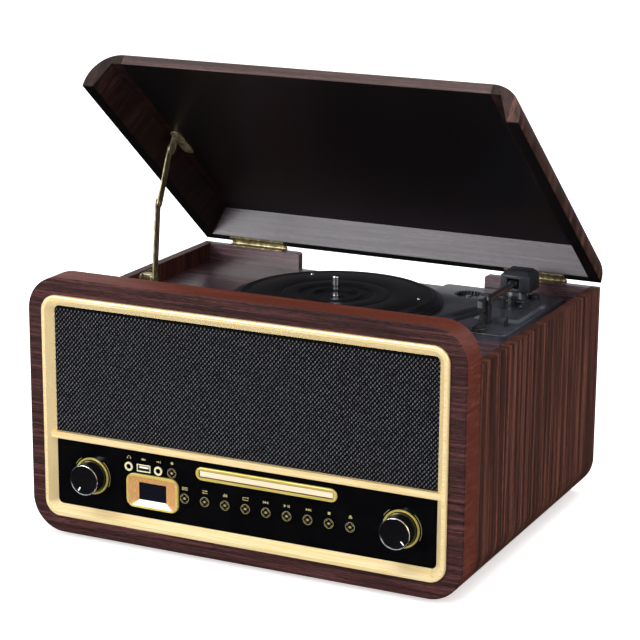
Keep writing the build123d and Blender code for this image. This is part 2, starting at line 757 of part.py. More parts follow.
platter_low = floor_h + deck_t + 1.2
plate_under = platter_top - 2.6
platter_plane = Plane(origin=(spindle_x, front_y + spindle_y, base_z), x_dir=(1, 0, 0), z_dir=(0, -1, 0))
with BuildPart() as platter:
    with BuildSketch(platter_plane):
        with BuildLine():
            bore = spindle_root_r + pin_fit
            Polyline((bore, platter_low - 0.6), (9.0, platter_low - 0.6), (9.0, plate_under - 2.2),
                     (drive_ring_r - 3.0, plate_under - 2.2), (drive_ring_r - 3.0, platter_low),
                     (drive_ring_r, platter_low), (drive_ring_r, plate_under),
                     (platter_r - 3.0, plate_under), (platter_r - 3.0, platter_low),
                     (flange_r, platter_low), (flange_r, platter_low + 2.0),
                     (platter_r, platter_low + 2.6), (platter_r, platter_top - 2.8),
                     (platter_r - 2.2, platter_top - 2.2), (platter_mat_r + 1.2, platter_top - 1.8),
                     (platter_mat_r, platter_top - 0.5), (platter_mat_r - 0.8, platter_top),
                     (54.8, platter_top), (54.2, platter_top - 0.5), (53.4, platter_top - 0.5),
                     (52.8, platter_top), (38.0, platter_top), (36.2, platter_top - 1.6),
                     (27.0, platter_top - 1.6), (25.6, platter_top - 0.2), (23.0, platter_top - 0.2),
                     (20.4, platter_top - 2.4), (8.0, platter_top - 2.4), (6.6, platter_top - 1.6),
                     (bore, platter_top - 1.6), (bore, platter_low - 0.6))
        make_face()
    revolve(axis=Axis((spindle_x, front_y + spindle_y, base_z), (0, 0, 1)))
    with BuildSketch(level(platter_top, spindle_x, spindle_y)):
        with PolarLocations(stud_circle_r, 3, start_angle=12.0):
            Circle(stud_r)
    extrude(amount=0.9)
save(platter, "platter")

with BuildPart() as motor:
    with BuildSketch(level(floor_h - 5.0, pulley_x, pulley_y)):
        Circle(motor_r)
    extrude(amount=-motor_h)
    with BuildSketch(level(floor_h - 5.0, pulley_x, pulley_y)):
        Circle(1.0)
    extrude(amount=deck_t + 5.0 + 3.6)
save(motor, "motor")

belt_low = platter_low + 0.4
with BuildPart() as motor_pulley:
    with BuildSketch(level(belt_low - 1.0, pulley_x, pulley_y)):
        Circle(pulley_r)
        Circle(1.0 + pin_fit, mode=Mode.SUBTRACT)
    extrude(amount=1.0 - 0.2)
    with BuildSketch(level(belt_low - 0.2, pulley_x, pulley_y)):
        Circle(pulley_r - 1.0)
        Circle(1.0 + pin_fit, mode=Mode.SUBTRACT)
    extrude(amount=belt_w + 0.4)
save(motor_pulley, "motor_pulley")

belt_gap = 0.05
run_big = drive_ring_r + belt_gap
run_small = pulley_r - 1.0 + belt_gap
with BuildPart() as belt:
    with BuildSketch(level(belt_low, spindle_x, spindle_y)) as belt_sketch:
        with Locations(Location((0, 0), pulley_angle)):
            Circle(run_big + belt_t)
            with Locations((pulley_from_centre, 0)):
                Circle(run_small + belt_t)
        make_hull()
        with Locations(Location((0, 0), pulley_angle)):
            big_x = (run_big - run_small) / pulley_from_centre
            side_y = sqrt(1 - big_x * big_x)
            Circle(run_big, mode=Mode.SUBTRACT)
            with Locations((pulley_from_centre, 0)):
                Circle(run_small, mode=Mode.SUBTRACT)
            with BuildLine():
                Polyline((run_big * big_x, run_big * side_y),
                         (pulley_from_centre + run_small * big_x, run_small * side_y),
                         (pulley_from_centre + run_small * big_x, -run_small * side_y),
                         (run_big * big_x, -run_big * side_y), close=True)
            make_face(mode=Mode.SUBTRACT)
    extrude(amount=belt_w)
save(belt, "belt")

# ---- tonearm ----------------------------------------------------------------------------
turret_base = floor_h + deck_t + plateau_h
turret_top = arm_z - 7.5
lever_shaft_r = 2.3
lever_y = arm_y - 17.0
lever_z = turret_base + 4.0
with BuildPart() as tonearm_base:
    with BuildSketch(level(turret_base, arm_x, arm_y)):
        Circle(turret_r + 3.0)
    extrude(amount=3.0)
    chamfer(tonearm_base.faces().sort_by(Axis.Z)[-1].edges(), 1.0)
    with BuildSketch(level(turret_base + 3.0, arm_x, arm_y)):
        Circle(turret_r + 1.2)
    extrude(amount=turret_top - turret_base - 3.0, taper=9.0)
    with BuildSketch(level(turret_top, arm_x, arm_y)):
        Circle(3.0)
    extrude(amount=3.0)
    with BuildSketch(across(arm_x + 1.0)):
        with Locations((arm_y - 16.0, turret_base + 3.8)):
            Rectangle(9.0, 7.6)
    extrude(amount=6.0)
    with BuildSketch(across(arm_x + 1.0)):
        with Locations((lever_y, lever_z)):
            Circle(lever_shaft_r + pin_fit)
    extrude(amount=6.0, mode=Mode.SUBTRACT)
    with BuildSketch(level(turret_base, arm_x, arm_y)):
        with Locations((12.0, 19.0)):
            Circle(6.0)
    extrude(amount=3.4)
save(tonearm_base, "tonearm_base")

block_w = 30.0
block_d = 27.0
block_h = 20.0
block_low = turret_top + gap
fork_w = 12.0
with BuildPart() as tonearm_block:
    with BuildSketch(level(block_low, arm_x + 2.0, arm_y + 6.0)):
        Rectangle(block_w, block_d)
    extrude(amount=block_h)
    chamfer(tonearm_block.faces().sort_by(Axis.Z)[-1].edges(), 4.5)
    with BuildSketch(level(block_low + 3.2, arm_x, arm_y)):
        with Locations((0, -block_d / 2 + 6.0)):
            Rectangle(fork_w, block_d)
    extrude(amount=arm_z + 5.6 - block_low - 3.2, mode=Mode.SUBTRACT)
    with BuildSketch(level(block_low, arm_x, arm_y)):
        Circle(3.0 + pin_fit)
    extrude(amount=3.2, mode=Mode.SUBTRACT)
    with BuildSketch(Plane(origin=(arm_x - 10.0, front_y + arm_y - 2.5, base_z + arm_z), x_dir=(0, 1, 0),
                           z_dir=(1, 0, 0))):
        Circle(1.2)
    extrude(amount=20.0)
save(tonearm_block, "tonearm_block")

arm_front = arm_y - 6.0
tube_end = rest_y - 8.0
head_x = arm_x
head_y = tube_end + 1.0
with BuildPart() as tonearm:
    with BuildSketch(Plane(origin=(arm_x, front_y + arm_y - 2.5, base_z + arm_z), x_dir=(0, 1, 0),
                           z_dir=(1, 0, 0))):
        SlotOverall(13.0, 6.8)
    extrude(amount=4.2, both=True)
    with BuildSketch(facing(arm_front, arm_x, base_z + arm_z)):
        Rectangle(tube_w, tube_w)
    extrude(amount=arm_front - tube_end)
    chamfer(tonearm.edges().filter_by(Axis.Y).sort_by(SortBy.LENGTH)[-4:], 0.9)
    with BuildSketch(Plane(origin=(arm_x, front_y + arm_y - 2.5, base_z + arm_z), x_dir=(0, 1, 0),
                           z_dir=(1, 0, 0))):
        Circle(1.2 + pin_fit)
    extrude(amount=10.0, both=True, mode=Mode.SUBTRACT)
    with BuildSketch(level(arm_z - head_drop - 1.0, arm_x, tube_end + 2.5)):
        RectangleRounded(6.4, 8.0, 1.2)
    extrude(amount=head_drop + 1.0 + tube_w / 2)
    head_plane = Plane(origin=(head_x, front_y + head_y, base_z + arm_z - head_drop - 2.0),
                       x_dir=(cos(radians(head_angle)), -sin(radians(head_angle)), 0), z_dir=(0, 0, 1))
    with BuildSketch(head_plane):
        with BuildLine():
            Polyline((-3.2, 4.0), (3.2, 4.0), (head_w / 2, -14.0), (head_w / 2, -head_len + 6.0),
                     (head_w / 2 - 3.0, -head_len), (-head_w / 2 + 3.0, -head_len),
                     (-head_w / 2, -head_len + 6.0), (-head_w / 2, -14.0), (-3.2, 4.0))
        make_face()
    extrude(amount=4.4)
    chamfer(tonearm.faces().sort_by(Axis.Y)[0].edges().filter_by(Axis.Z, reverse=True), 0.8)
save(tonearm, "tonearm")

with BuildPart() as cartridge:
    with BuildSketch(head_plane):
        with Locations((0, -head_len + 18.0)):
            Rectangle(10.0, 22.0)
    extrude(amount=-2.6)
    with BuildSketch(head_plane.offset(-2.6)):
        with Locations((0, -head_len + 10.0)):
            Rectangle(2.4, 5.0)
    extrude(amount=-1.2)
save(cartridge, "cartridge")

rest_base = floor_h + deck_t
tube_under = arm_z - tube_w / 2
with BuildPart() as arm_rest:
    with BuildSketch(level(rest_base, arm_x + 1.0, rest_y + 3.0)):
        RectangleRounded(10.0, 8.0, 1.5)
    extrude(amount=tube_under - gap - rest_base)
    with BuildSketch(level(rest_base, arm_x + tube_w / 2 + gap + 1.3, rest_y + 3.0)):
        Rectangle(2.6, 5.0)
    extrude(amount=arm_z + 5.5 - rest_base)
save(arm_rest, "arm_rest")

lift_x = arm_x
lift_y = arm_y - 33.0
with BuildPart() as cue_lift:
    with BuildSketch(level(turret_base + gap, lift_x, lift_y)):
        Circle(2.5)
    extrude(amount=tube_under - 3.0 - turret_base - gap)
    with BuildSketch(level(tube_under - 5.0, lift_x - 8.0, lift_y)):
        RectangleRounded(26.0, 5.0, 2.0)
    extrude(amount=2.0)
save(cue_lift, "cue_lift")

lever_len = 17.0
with BuildPart() as cue_lever:
    with BuildSketch(Plane(origin=(arm_x - 2.0, front_y + lever_y, base_z + lever_z), x_dir=(0, 1, 0),
                           z_dir=(1, 0, 0))):
        Circle(lever_shaft_r)
    extrude(amount=20.0)
    with BuildSketch(Plane(origin=(arm_x + 18.0, front_y + lever_y, base_z + lever_z), x_dir=(0, 1, 0),
                           z_dir=(1, 0, 0))):
        with Locations((-lever_len / 2, 0)):
            SlotCenterToCenter(lever_len, 4.2)
        Circle(2.7)
    extrude(amount=3.4)
save(cue_lever, "cue_lever")

with BuildPart() as speed_selector:
    with BuildSketch(level(floor_h + deck_t + gap, speed_x, speed_y)):
        Circle(7.0)
    extrude(amount=3.4)
    fillet(speed_selector.faces().sort_by(Axis.Z)[-1].edges(), 0.8)
    with BuildSketch(level(floor_h + deck_t + gap + 3.4, speed_x, speed_y)):
        SlotOverall(16.0, 4.6, rotation=90)
    extrude(amount=3.6)
    with BuildSketch(level(floor_h + gap, speed_x, speed_y)):
        Circle(3.0 - pin_fit)
    extrude(amount=deck_t)
save(speed_selector, "speed_selector")

with BuildPart() as stop_switch:
    with BuildSketch(level(floor_h + gap, switch_x, switch_y - 3.0)):
        Rectangle(3.0, 3.4)
    extrude(amount=deck_t + plateau_h + 5.0)
save(stop_switch, "stop_switch")

# ---- lid --------------------------------------------------------------------------------
lid_rim = lid_rise - hinge_up
lid_back = -hinge_back
lid_front = panel_t + lid_front_gap - hinge_gap_y
board_edge = half_w - corner_r
lid_under = lid_top_rel - lid_board_t
rim_in = half_w - lid_rim_t
under_in = half_w - lid_rail_top_t
with BuildPart() as lid_board:
    with BuildSketch(lid_facing(lid_front)):
        with Locations((0, lid_top_rel - lid_board_t / 2)):
            Rectangle(2 * board_edge, lid_board_t)
    extrude(amount=lid_front - lid_back)
save(lid_board, "lid_board")

rail_cut = lid_back - lid_rim_t
rail_cut_top = lid_back - lid_rail_top_t
with BuildPart() as lid_side_rails:
    for side in (-1, 1):
        with BuildSketch(lid_facing(lid_front)):
            with BuildLine():
                bend_start = (side * board_edge, lid_top_rel)
                bend_end = (side * half_w, lid_top_rel - corner_r)
                RadiusArc(bend_start, bend_end, side * corner_r)
                Polyline(bend_end, (side * half_w, lid_rim), (side * rim_in, lid_rim),
                         (side * under_in, lid_under), (side * board_edge, lid_under), bend_start)
            make_face()
        extrude(amount=lid_front - lid_back)
save(lid_side_rails, "lid_side_rails")

with BuildPart() as lid_rail_rear:
    with BuildSketch(lid_across(-half_w)):
        with BuildLine():
            Polyline((lid_back, lid_rim), (lid_back, lid_under), (rail_cut_top, lid_under),
                     (rail_cut, lid_rim), (lid_back, lid_rim))
        make_face()
    extrude(amount=width)
    with BuildSketch(lid_facing(0)):
        with BuildLine():
            Polyline((-rim_in, lid_rim), (rim_in, lid_rim), (under_in, lid_under),
                     (-under_in, lid_under), (-rim_in, lid_rim))
        make_face()
    extrude(amount=60.0, mode=Mode.INTERSECT)
save(lid_rail_rear, "lid_rail_rear")

# ---- hinges -----------------------------------------------------------------------------
knuckle = hinge_len / knuckles


def hinge_leaves(plane_at, leaf_low, first, with_pin):
    """Leaves of both hinges on one side: a flat leaf and every other knuckle round the pin."""
    with BuildPart() as leaves:
        for centre in hinge_x:
            start = centre - hinge_len / 2
            with BuildSketch(plane_at(start)):
                with Locations((-hinge_back - leaf_reach / 2, leaf_low + leaf_t / 2)):
                    Rectangle(leaf_reach, leaf_t)
            extrude(amount=hinge_len)
            for index in range(first, knuckles, 2):
                with BuildSketch(plane_at(start + index * knuckle + knuckle_gap / 2)):
                    Circle(barrel_r)
                    with Locations((-hinge_back / 2 - 0.3, leaf_low + leaf_t / 2)):
                        Rectangle(hinge_back + 0.6, leaf_t)
                extrude(amount=knuckle - knuckle_gap)
            if with_pin:
                with BuildSketch(plane_at(start - 0.8)):
                    Circle(hinge_pin_r)
                extrude(amount=hinge_len + 1.6)
            else:
                with BuildSketch(plane_at(start)):
                    Circle(hinge_pin_r + pin_fit)
                extrude(amount=hinge_len, mode=Mode.SUBTRACT)
    return leaves


def case_across(x):
    return Plane(origin=(x, hinge_y, hinge_z), x_dir=(0, 1, 0), z_dir=(1, 0, 0))


save(hinge_leaves(case_across, -hinge_up, 0, True), "hinge_case_leaves")
save(hinge_leaves(lid_across, lid_rim - leaf_t, 1, False), "hinge_lid_leaves")

# ---- lid stay ---------------------------------------------------------------------------
low_pivot = (stay_y, stay_z)
high_pivot = (stay_lid_y, stay_lid_z)
pivot_run = hypot(high_pivot[0] - low_pivot[0], high_pivot[1] - low_pivot[1])
upper_len = pivot_run + stay_slack - stay_lower_len
along = (stay_lower_len ** 2 - upper_len ** 2 + pivot_run ** 2) / (2 * pivot_run)
bow = sqrt(stay_lower_len ** 2 - along ** 2)
run_y = (high_pivot[0] - low_pivot[0]) / pivot_run
run_z = (high_pivot[1] - low_pivot[1]) / pivot_run
elbow = (low_pivot[0] + along * run_y - bow * run_z, low_pivot[1] + along * run_z + bow * run_y)
lower_turn = degrees(atan2(elbow[1] - low_pivot[1], elbow[0] - low_pivot[0]))
upper_turn = degrees(atan2(high_pivot[1] - elbow[1], high_pivot[0] - elbow[0]))
lower_x = -inner_x + stay_plane_in
upper_x = lower_x + stay_arm_t + stay_gap
arm_overrun = 20.0

with BuildPart() as stay_bracket:
    with BuildSketch(across(-inner_x)):
        with Locations((stay_y + 9.0, stay_z - 3.0)):
            RectangleRounded(30.0, 12.0, 5.9)
    extrude(amount=1.6)
    with BuildSketch(across(-inner_x)):
        with Locations((stay_y + 4.5, stay_z - 3.0)):
            RectangleRounded(9.0, 11.0, 1.0)
    extrude(amount=stay_plane_in - stay_gap - 1.4)
    with BuildSketch(across(lower_x - stay_gap - 1.6)):
        with Locations((stay_y + 2.0, stay_z - 1.6)):
            RectangleRounded(14.0, 12.0, 4.0)
    extrude(amount=1.6)
    with BuildSketch(across(lower_x - stay_gap)):
        with Locations(low_pivot):
            Circle(rivet_r)
    extrude(amount=stay_gap + stay_arm_t + 0.8)
    with BuildSketch(across(-inner_x + 1.6)):
        with Locations((stay_y + 18.5, stay_z - 3.0)):
            Circle(2.6)
    extrude(amount=1.0)
save(stay_bracket, "stay_bracket")

with BuildPart() as stay_arm_lower:
    low_mid = ((low_pivot[0] + elbow[0]) / 2, (low_pivot[1] + elbow[1]) / 2)
    with BuildSketch(across(lower_x)):
        with Locations(Location(low_mid, lower_turn)):
            SlotCenterToCenter(stay_lower_len, stay_arm_w)
        with Locations(low_pivot):
            Circle(rivet_r + pin_fit, mode=Mode.SUBTRACT)
    extrude(amount=stay_arm_t)
    with BuildSketch(across(lower_x + stay_arm_t)):
        with Locations(elbow):
            Circle(rivet_r)
    extrude(amount=stay_gap * 0.5)
save(stay_arm_lower, "stay_arm_lower")

with BuildPart() as stay_arm_upper:
    high_mid = ((high_pivot[0] + elbow[0]) / 2, (high_pivot[1] + elbow[1]) / 2)
    with BuildSketch(across(upper_x)):
        with Locations(Location(high_mid, upper_turn)):
            SlotCenterToCenter(upper_len, stay_arm_w)
        with Locations(high_pivot):
            Circle(rivet_r + pin_fit, mode=Mode.SUBTRACT)
    extrude(amount=stay_arm_t)
    with BuildSketch(across(upper_x + stay_arm_t)):
        with Locations(elbow):
            Circle(rivet_r + 0.6)
    extrude(amount=0.8)
save(stay_arm_upper, "stay_arm_upper")

ear_x = upper_x + stay_arm_t + stay_gap
pivot_back = (Vector(0, front_y + high_pivot[0], base_z + high_pivot[1]) - lid_origin).dot(lid_back_dir)
pivot_up = (Vector(0, front_y + high_pivot[0], base_z + high_pivot[1]) - lid_origin).dot(lid_up_dir)
with BuildPart() as stay_lid_bracket:
    with BuildSketch(lid_level(lid_under)):
        with Locations((ear_x + 6.0, pivot_back + 6.0)):
            SlotOverall(42.0, 12.0, rotation=90)
    extrude(amount=-1.6)
    with BuildSketch(lid_across(ear_x)):
        with Locations((pivot_back, (pivot_up + lid_under) / 2)):
            Rectangle(12.0, lid_under - pivot_up)
        with Locations((pivot_back, pivot_up)):
            Circle(6.0)
    extrude(amount=1.6)
    with BuildSketch(lid_across(ear_x)):
        with Locations((pivot_back, pivot_up)):
            Circle(rivet_r)
    extrude(amount=-(stay_gap + stay_arm_t + 0.8))
    with BuildSketch(lid_level(lid_under - 1.6)):
        with Locations((ear_x + 6.0, pivot_back + 21.0), (ear_x + 6.0, pivot_back - 9.0)):
            Circle(2.8)
    extrude(amount=-1.0)
save(stay_lid_bracket, "stay_lid_bracket")
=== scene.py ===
"""A retro wooden record player with a disc drive, radio and speaker front, dressed for looks."""
from math import cos, pi, radians, sin

import bmesh
import bpy
from mathutils import Matrix, Vector


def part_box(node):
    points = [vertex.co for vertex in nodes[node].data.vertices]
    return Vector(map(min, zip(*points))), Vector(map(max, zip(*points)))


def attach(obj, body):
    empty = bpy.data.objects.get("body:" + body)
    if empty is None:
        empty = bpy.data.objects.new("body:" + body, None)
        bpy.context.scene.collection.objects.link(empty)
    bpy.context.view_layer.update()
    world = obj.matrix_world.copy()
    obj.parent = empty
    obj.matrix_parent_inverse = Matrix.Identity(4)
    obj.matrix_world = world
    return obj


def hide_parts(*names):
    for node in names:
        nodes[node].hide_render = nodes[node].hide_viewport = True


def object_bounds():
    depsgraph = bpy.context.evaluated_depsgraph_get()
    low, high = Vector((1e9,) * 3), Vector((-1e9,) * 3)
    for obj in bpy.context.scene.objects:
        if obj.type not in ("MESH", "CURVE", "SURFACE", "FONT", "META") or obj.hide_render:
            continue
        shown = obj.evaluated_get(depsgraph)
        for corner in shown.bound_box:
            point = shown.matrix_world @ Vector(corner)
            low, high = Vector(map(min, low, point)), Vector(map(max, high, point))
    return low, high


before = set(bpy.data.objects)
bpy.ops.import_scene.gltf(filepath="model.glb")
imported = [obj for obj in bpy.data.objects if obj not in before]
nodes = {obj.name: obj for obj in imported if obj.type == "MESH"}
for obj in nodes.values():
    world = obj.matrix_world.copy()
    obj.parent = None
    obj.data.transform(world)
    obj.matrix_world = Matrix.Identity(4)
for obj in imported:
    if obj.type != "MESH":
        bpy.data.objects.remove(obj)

bl_info = {
    "name": "Record Player Builder",
    "version": (1, 0, 0),
    "blender": (4, 5, 0),
    "location": "View3D > Sidebar > Record Player",
    "description": "Adds finishes and fine detail to the record player's frame",
    "category": "Add Mesh",
}

MM = 0.001
cad_low, cad_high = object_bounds()
LID_TILT = radians(38.8)
RIGHT = Vector((1, 0, 0))
BACK = Vector((0, 1, 0))
UP = Vector((0, 0, 1))
FRONT = -BACK
LID_BACK = Vector((0, cos(LID_TILT), -sin(LID_TILT)))
LID_UP = Vector((0, sin(LID_TILT), cos(LID_TILT)))
LID_TURN = (-LID_TILT, 0, 0)
BUTTONS = ("record", "mode", "source", "equaliser", "repeat", "previous", "play", "next", "stop", "open")


def middle(node):
    """Centre of a CAD node's box."""
    low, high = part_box(node)
    return (low + high) / 2


# ---- shading helpers --------------------------------------------------------------------


def linear(hex_colour):
    """An sRGB hex colour as the linear RGBA that shaders take."""
    channels = [int(hex_colour[i:i + 2], 16) / 255 for i in (1, 3, 5)]
    return [c / 12.92 if c <= 0.04045 else ((c + 0.055) / 1.055) ** 2.4 for c in channels] + [1.0]


def add_node(tree, kind, settings=None, inputs=None):
    """Adds one shader node, sets its properties, and sets or links its inputs."""
    made = tree.nodes.new("ShaderNode" + kind)
    for name, value in (settings or {}).items():
        setattr(made, name, value)
    for name, value in (inputs or {}).items():
        if isinstance(value, bpy.types.NodeSocket):
            tree.links.new(value, made.inputs[name])
        else:
            made.inputs[name].default_value = value
    return made


def new_material(name, **sockets):
    """A material whose Principled shader has these constant sockets."""
    material = bpy.data.materials.new(name)
    material.use_nodes = True
    shader = material.node_tree.nodes["Principled BSDF"]
    for socket, value in sockets.items():
        shader.inputs[socket.replace("_", " ")].default_value = value
    return material, material.node_tree, shader


def pattern_space(tree, size, turn=(0, 0, 0), place=(0, 0, 0)):
    """Object coordinates turned and divided by a pattern's size in metres."""
    coordinates = add_node(tree, "TexCoord").outputs["Object"]
    mapping = add_node(tree, "Mapping", {"vector_type": "TEXTURE"},
                       {"Vector": coordinates, "Scale": size, "Rotation": turn, "Location": place})
    return mapping.outputs["Vector"]


def ramp(tree, factor, stops):
    """A colour ramp with (position, hex colour) stops."""
    made = add_node(tree, "ValToRGB", None, {"Fac": factor})
    elements = made.color_ramp.elements
    while len(elements) < len(stops):
        elements.new(0.5)
    for element, (position, colour) in zip(elements, stops):
        element.position = position
        element.color = linear(colour)
    return made.outputs["Color"]


def blend_colours(tree, kind, factor, first, second):
    """Mixes two colours and returns the result's socket."""
    mix = add_node(tree, "Mix", {"data_type": "RGBA", "blend_type": kind})
    for socket, value in ((mix.inputs[0], factor), (mix.inputs[6], first), (mix.inputs[7], second)):
        if isinstance(value, bpy.types.NodeSocket):
            tree.links.new(value, socket)
        else:
            socket.default_value = value
    return mix.outputs[2]


def bump(tree, shader, height, strength, distance):
    """Raises the surface by a height pattern."""
    made = add_node(tree, "Bump", None, {"Height": height, "Strength": strength, "Distance": distance})
    tree.links.new(made.outputs["Normal"], shader.inputs["Normal"])


def past(tree, axis, limit, turn=(0, 0, 0), below=False):
    """1 where the position along an axis is past a limit in metres, and 0 elsewhere.

    Along x, the position is the distance from the middle on either side."""
    space = pattern_space(tree, (1, 1, 1), turn)
    along = add_node(tree, "SeparateXYZ", None, {0: space}).outputs[axis]
    if axis == 0:
        along = add_node(tree, "Math", {"operation": "ABSOLUTE"}, {0: along}).outputs[0]
    kind = "LESS_THAN" if below else "GREATER_THAN"
    return add_node(tree, "Math", {"operation": kind}, {0: along, 1: limit}).outputs[0]


# ---- materials --------------------------------------------------------------------------


def rosewood_veneer(name, figure, pores, colours, zones=(), turn=(0, 0, 0), roughness=0.38, coat=0.35,
                    specular=0.5):
    """Printed rosewood veneer under satin lacquer: long dark streaks, fine pores, a soft sheen.

    figure and pores are the streaks' length and width as (x, y, z) in metres."""
    material, tree, shader = new_material(name, Roughness=roughness, IOR=1.5, Coat_Weight=coat,
                                          Coat_Roughness=0.22, Coat_IOR=1.5,
                                          Specular_IOR_Level=specular)
    broad = add_node(tree, "TexNoise", None, {"Vector": pattern_space(tree, figure, turn), "Scale": 1.0,
                                              "Detail": 5.0, "Roughness": 0.62, "Distortion": 0.35})
    slim = [side * 0.28 for side in figure]
    narrow = add_node(tree, "TexNoise", None, {"Vector": pattern_space(tree, slim, turn, (0.3, 0.1, 0.2)),
                                               "Scale": 1.0, "Detail": 3.0, "Roughness": 0.55})
    fine = add_node(tree, "TexNoise", None, {"Vector": pattern_space(tree, pores, turn), "Scale": 1.0,
                                             "Detail": 2.0, "Roughness": 0.5})
    figured = add_node(tree, "Math", {"operation": "MULTIPLY_ADD", "use_clamp": True},
                       {0: narrow.outputs["Fac"], 1: 0.45, 2: broad.outputs["Fac"]})
    spread = add_node(tree, "MapRange", None, {"Value": figured.outputs[0], "From Min": 0.48,
                                               "From Max": 0.95})
    dark, middle_tone, light = colours
    wood = ramp(tree, spread.outputs["Result"], ((0.0, dark), (0.5, middle_tone), (1.0, light)))
    specks = ramp(tree, fine.outputs["Fac"], ((0.36, "#5a5050"), (0.5, "#ffffff")))
    wood = blend_colours(tree, "MULTIPLY", 0.75, wood, specks)
    for axis, limit, below, zone_colour, amount in zones:
        mask = past(tree, axis, limit, turn, below)
        weight = add_node(tree, "Math", {"operation": "MULTIPLY"}, {0: mask, 1: amount}).outputs[0]
        wood = blend_colours(tree, "MIX", weight, wood, linear(zone_colour))
    tree.links.new(wood, shader.inputs["Base Color"])
    bump(tree, shader, fine.outputs["Fac"], 0.12, 0.15 * MM)
    return material


def champagne_gold(name, tone, light, metallic=0.5, roughness=0.3, streak=(0.05, 0.0006, 0.0006)):
    """Gold-lacquered moulding: warm pigment with metal flakes, and faint drawn lines along it."""
    material, tree, shader = new_material(name, Metallic=metallic, Roughness=roughness, IOR=1.5,
                                          Coat_Weight=0.3, Coat_Roughness=0.15)
    lines = add_node(tree, "TexNoise", None, {"Vector": pattern_space(tree, streak), "Scale": 1.0,
                                              "Detail": 3.0})
    colour = ramp(tree, lines.outputs["Fac"], ((0.35, tone), (0.65, light)))
    tree.links.new(colour, shader.inputs["Base Color"])
    bump(tree, shader, lines.outputs["Fac"], 0.08, 0.05 * MM)
    return material


def antique_brass():
    """Antique-finished brass: dull yellow with brown tarnish in patches."""
    material, tree, shader = new_material("antique_brass", Metallic=0.7, Roughness=0.36)
    patches = add_node(tree, "TexNoise", None, {"Vector": pattern_space(tree, (0.004, 0.004, 0.012)),
                                                "Scale": 1.0, "Detail": 5.0, "Roughness": 0.65})
    colour = ramp(tree, patches.outputs["Fac"], ((0.3, "#54492f"), (0.5, "#948866"), (0.7, "#cfc6a6")))
    tree.links.new(colour, shader.inputs["Base Color"])
    bump(tree, shader, patches.outputs["Fac"], 0.15, 0.1 * MM)
    return material


def moulded_plastic(name, tone, worn, roughness, grit=0.0007, height=0.12, coat=0.0, specular=0.5):
    """Moulded ABS or polystyrene: even colour, the mould's fine grit, slight scuffs."""
    material, tree, shader = new_material(name, Roughness=roughness, IOR=1.54, Coat_Weight=coat,
                                          Coat_Roughness=0.08, Specular_IOR_Level=specular)
    clouds = add_node(tree, "TexNoise", None, {"Vector": pattern_space(tree, (0.02, 0.02, 0.02)),
                                               "Scale": 1.0, "Detail": 4.0})
    grain = add_node(tree, "TexNoise", None, {"Vector": pattern_space(tree, (grit, grit, grit)),
                                              "Scale": 1.0, "Detail": 2.0})
    colour = ramp(tree, clouds.outputs["Fac"], ((0.35, tone), (0.7, worn)))
    tree.links.new(colour, shader.inputs["Base Color"])
    bump(tree, shader, grain.outputs["Fac"], height, 0.1 * MM)
    return material


def plated_metal(name, tone, shade, roughness, line=(0.0008, 0.0008, 0.02)):
    """Plated or polished steel: bright, with hairlines left by polishing."""
    material, tree, shader = new_material(name, Metallic=1.0, Roughness=roughness)
    hairlines = add_node(tree, "TexNoise", None, {"Vector": pattern_space(tree, line), "Scale": 1.0,
                                                  "Detail": 3.0})
    tree.links.new(ramp(tree, hairlines.outputs["Fac"], ((0.35, shade), (0.65, tone))),
                   shader.inputs["Base Color"])
    bump(tree, shader, hairlines.outputs["Fac"], 0.05, 0.05 * MM)
    return material


def woven_cloth(name, tone, light, specular=0.4):
    """Woven acoustic cloth: grey synthetic thread with a slight shine on each crown."""
    material, tree, shader = new_material(name, Roughness=0.55, IOR=1.5, Sheen_Weight=0.03,
                                          Sheen_Roughness=0.4, Specular_IOR_Level=specular)
    threads = add_node(tree, "TexNoise", None, {"Vector": pattern_space(tree, (0.0012, 0.002, 0.0012)),
                                                "Scale": 1.0, "Detail": 3.0})
    tree.links.new(ramp(tree, threads.outputs["Fac"], ((0.38, tone), (0.62, light))),
                   shader.inputs["Base Color"])
    bump(tree, shader, threads.outputs["Fac"], 0.2, 0.2 * MM)
    return material


def pressed_board(name, tone, light):
    """Pressed wood-fibre board: pale chips in a brown binder."""
    material, tree, shader = new_material(name, Roughness=0.75, IOR=1.45)
    chips = add_node(tree, "TexVoronoi", None, {"Vector": pattern_space(tree, (0.003, 0.003, 0.002)),
                                                "Scale": 1.0})
    tree.links.new(ramp(tree, chips.outputs["Color"], ((0.2, tone), (0.8, light))),
                   shader.inputs["Base Color"])
    bump(tree, shader, chips.outputs["Distance"], 0.2, 0.2 * MM)
    return material


def printed_ink():
    """Gold screen ink: metal flakes in varnish, brighter at the flakes."""
    material, tree, shader = new_material("gold_screen_ink", Metallic=0.4, Roughness=0.45)
    flakes = add_node(tree, "TexNoise", None, {"Vector": pattern_space(tree, (0.0004, 0.0004, 0.0004)),
                                               "Scale": 1.0, "Detail": 1.0})
    tree.links.new(ramp(tree, flakes.outputs["Fac"], ((0.35, "#9a8c58"), (0.65, "#cdc28a"))),
                   shader.inputs["Base Color"])
    return material


made_materials = {}


def finish(name):
    """A finish by its name, made when it is first asked for."""
    if name not in made_materials:
        made_materials[name] = FINISHES[name]()
    return made_materials[name]


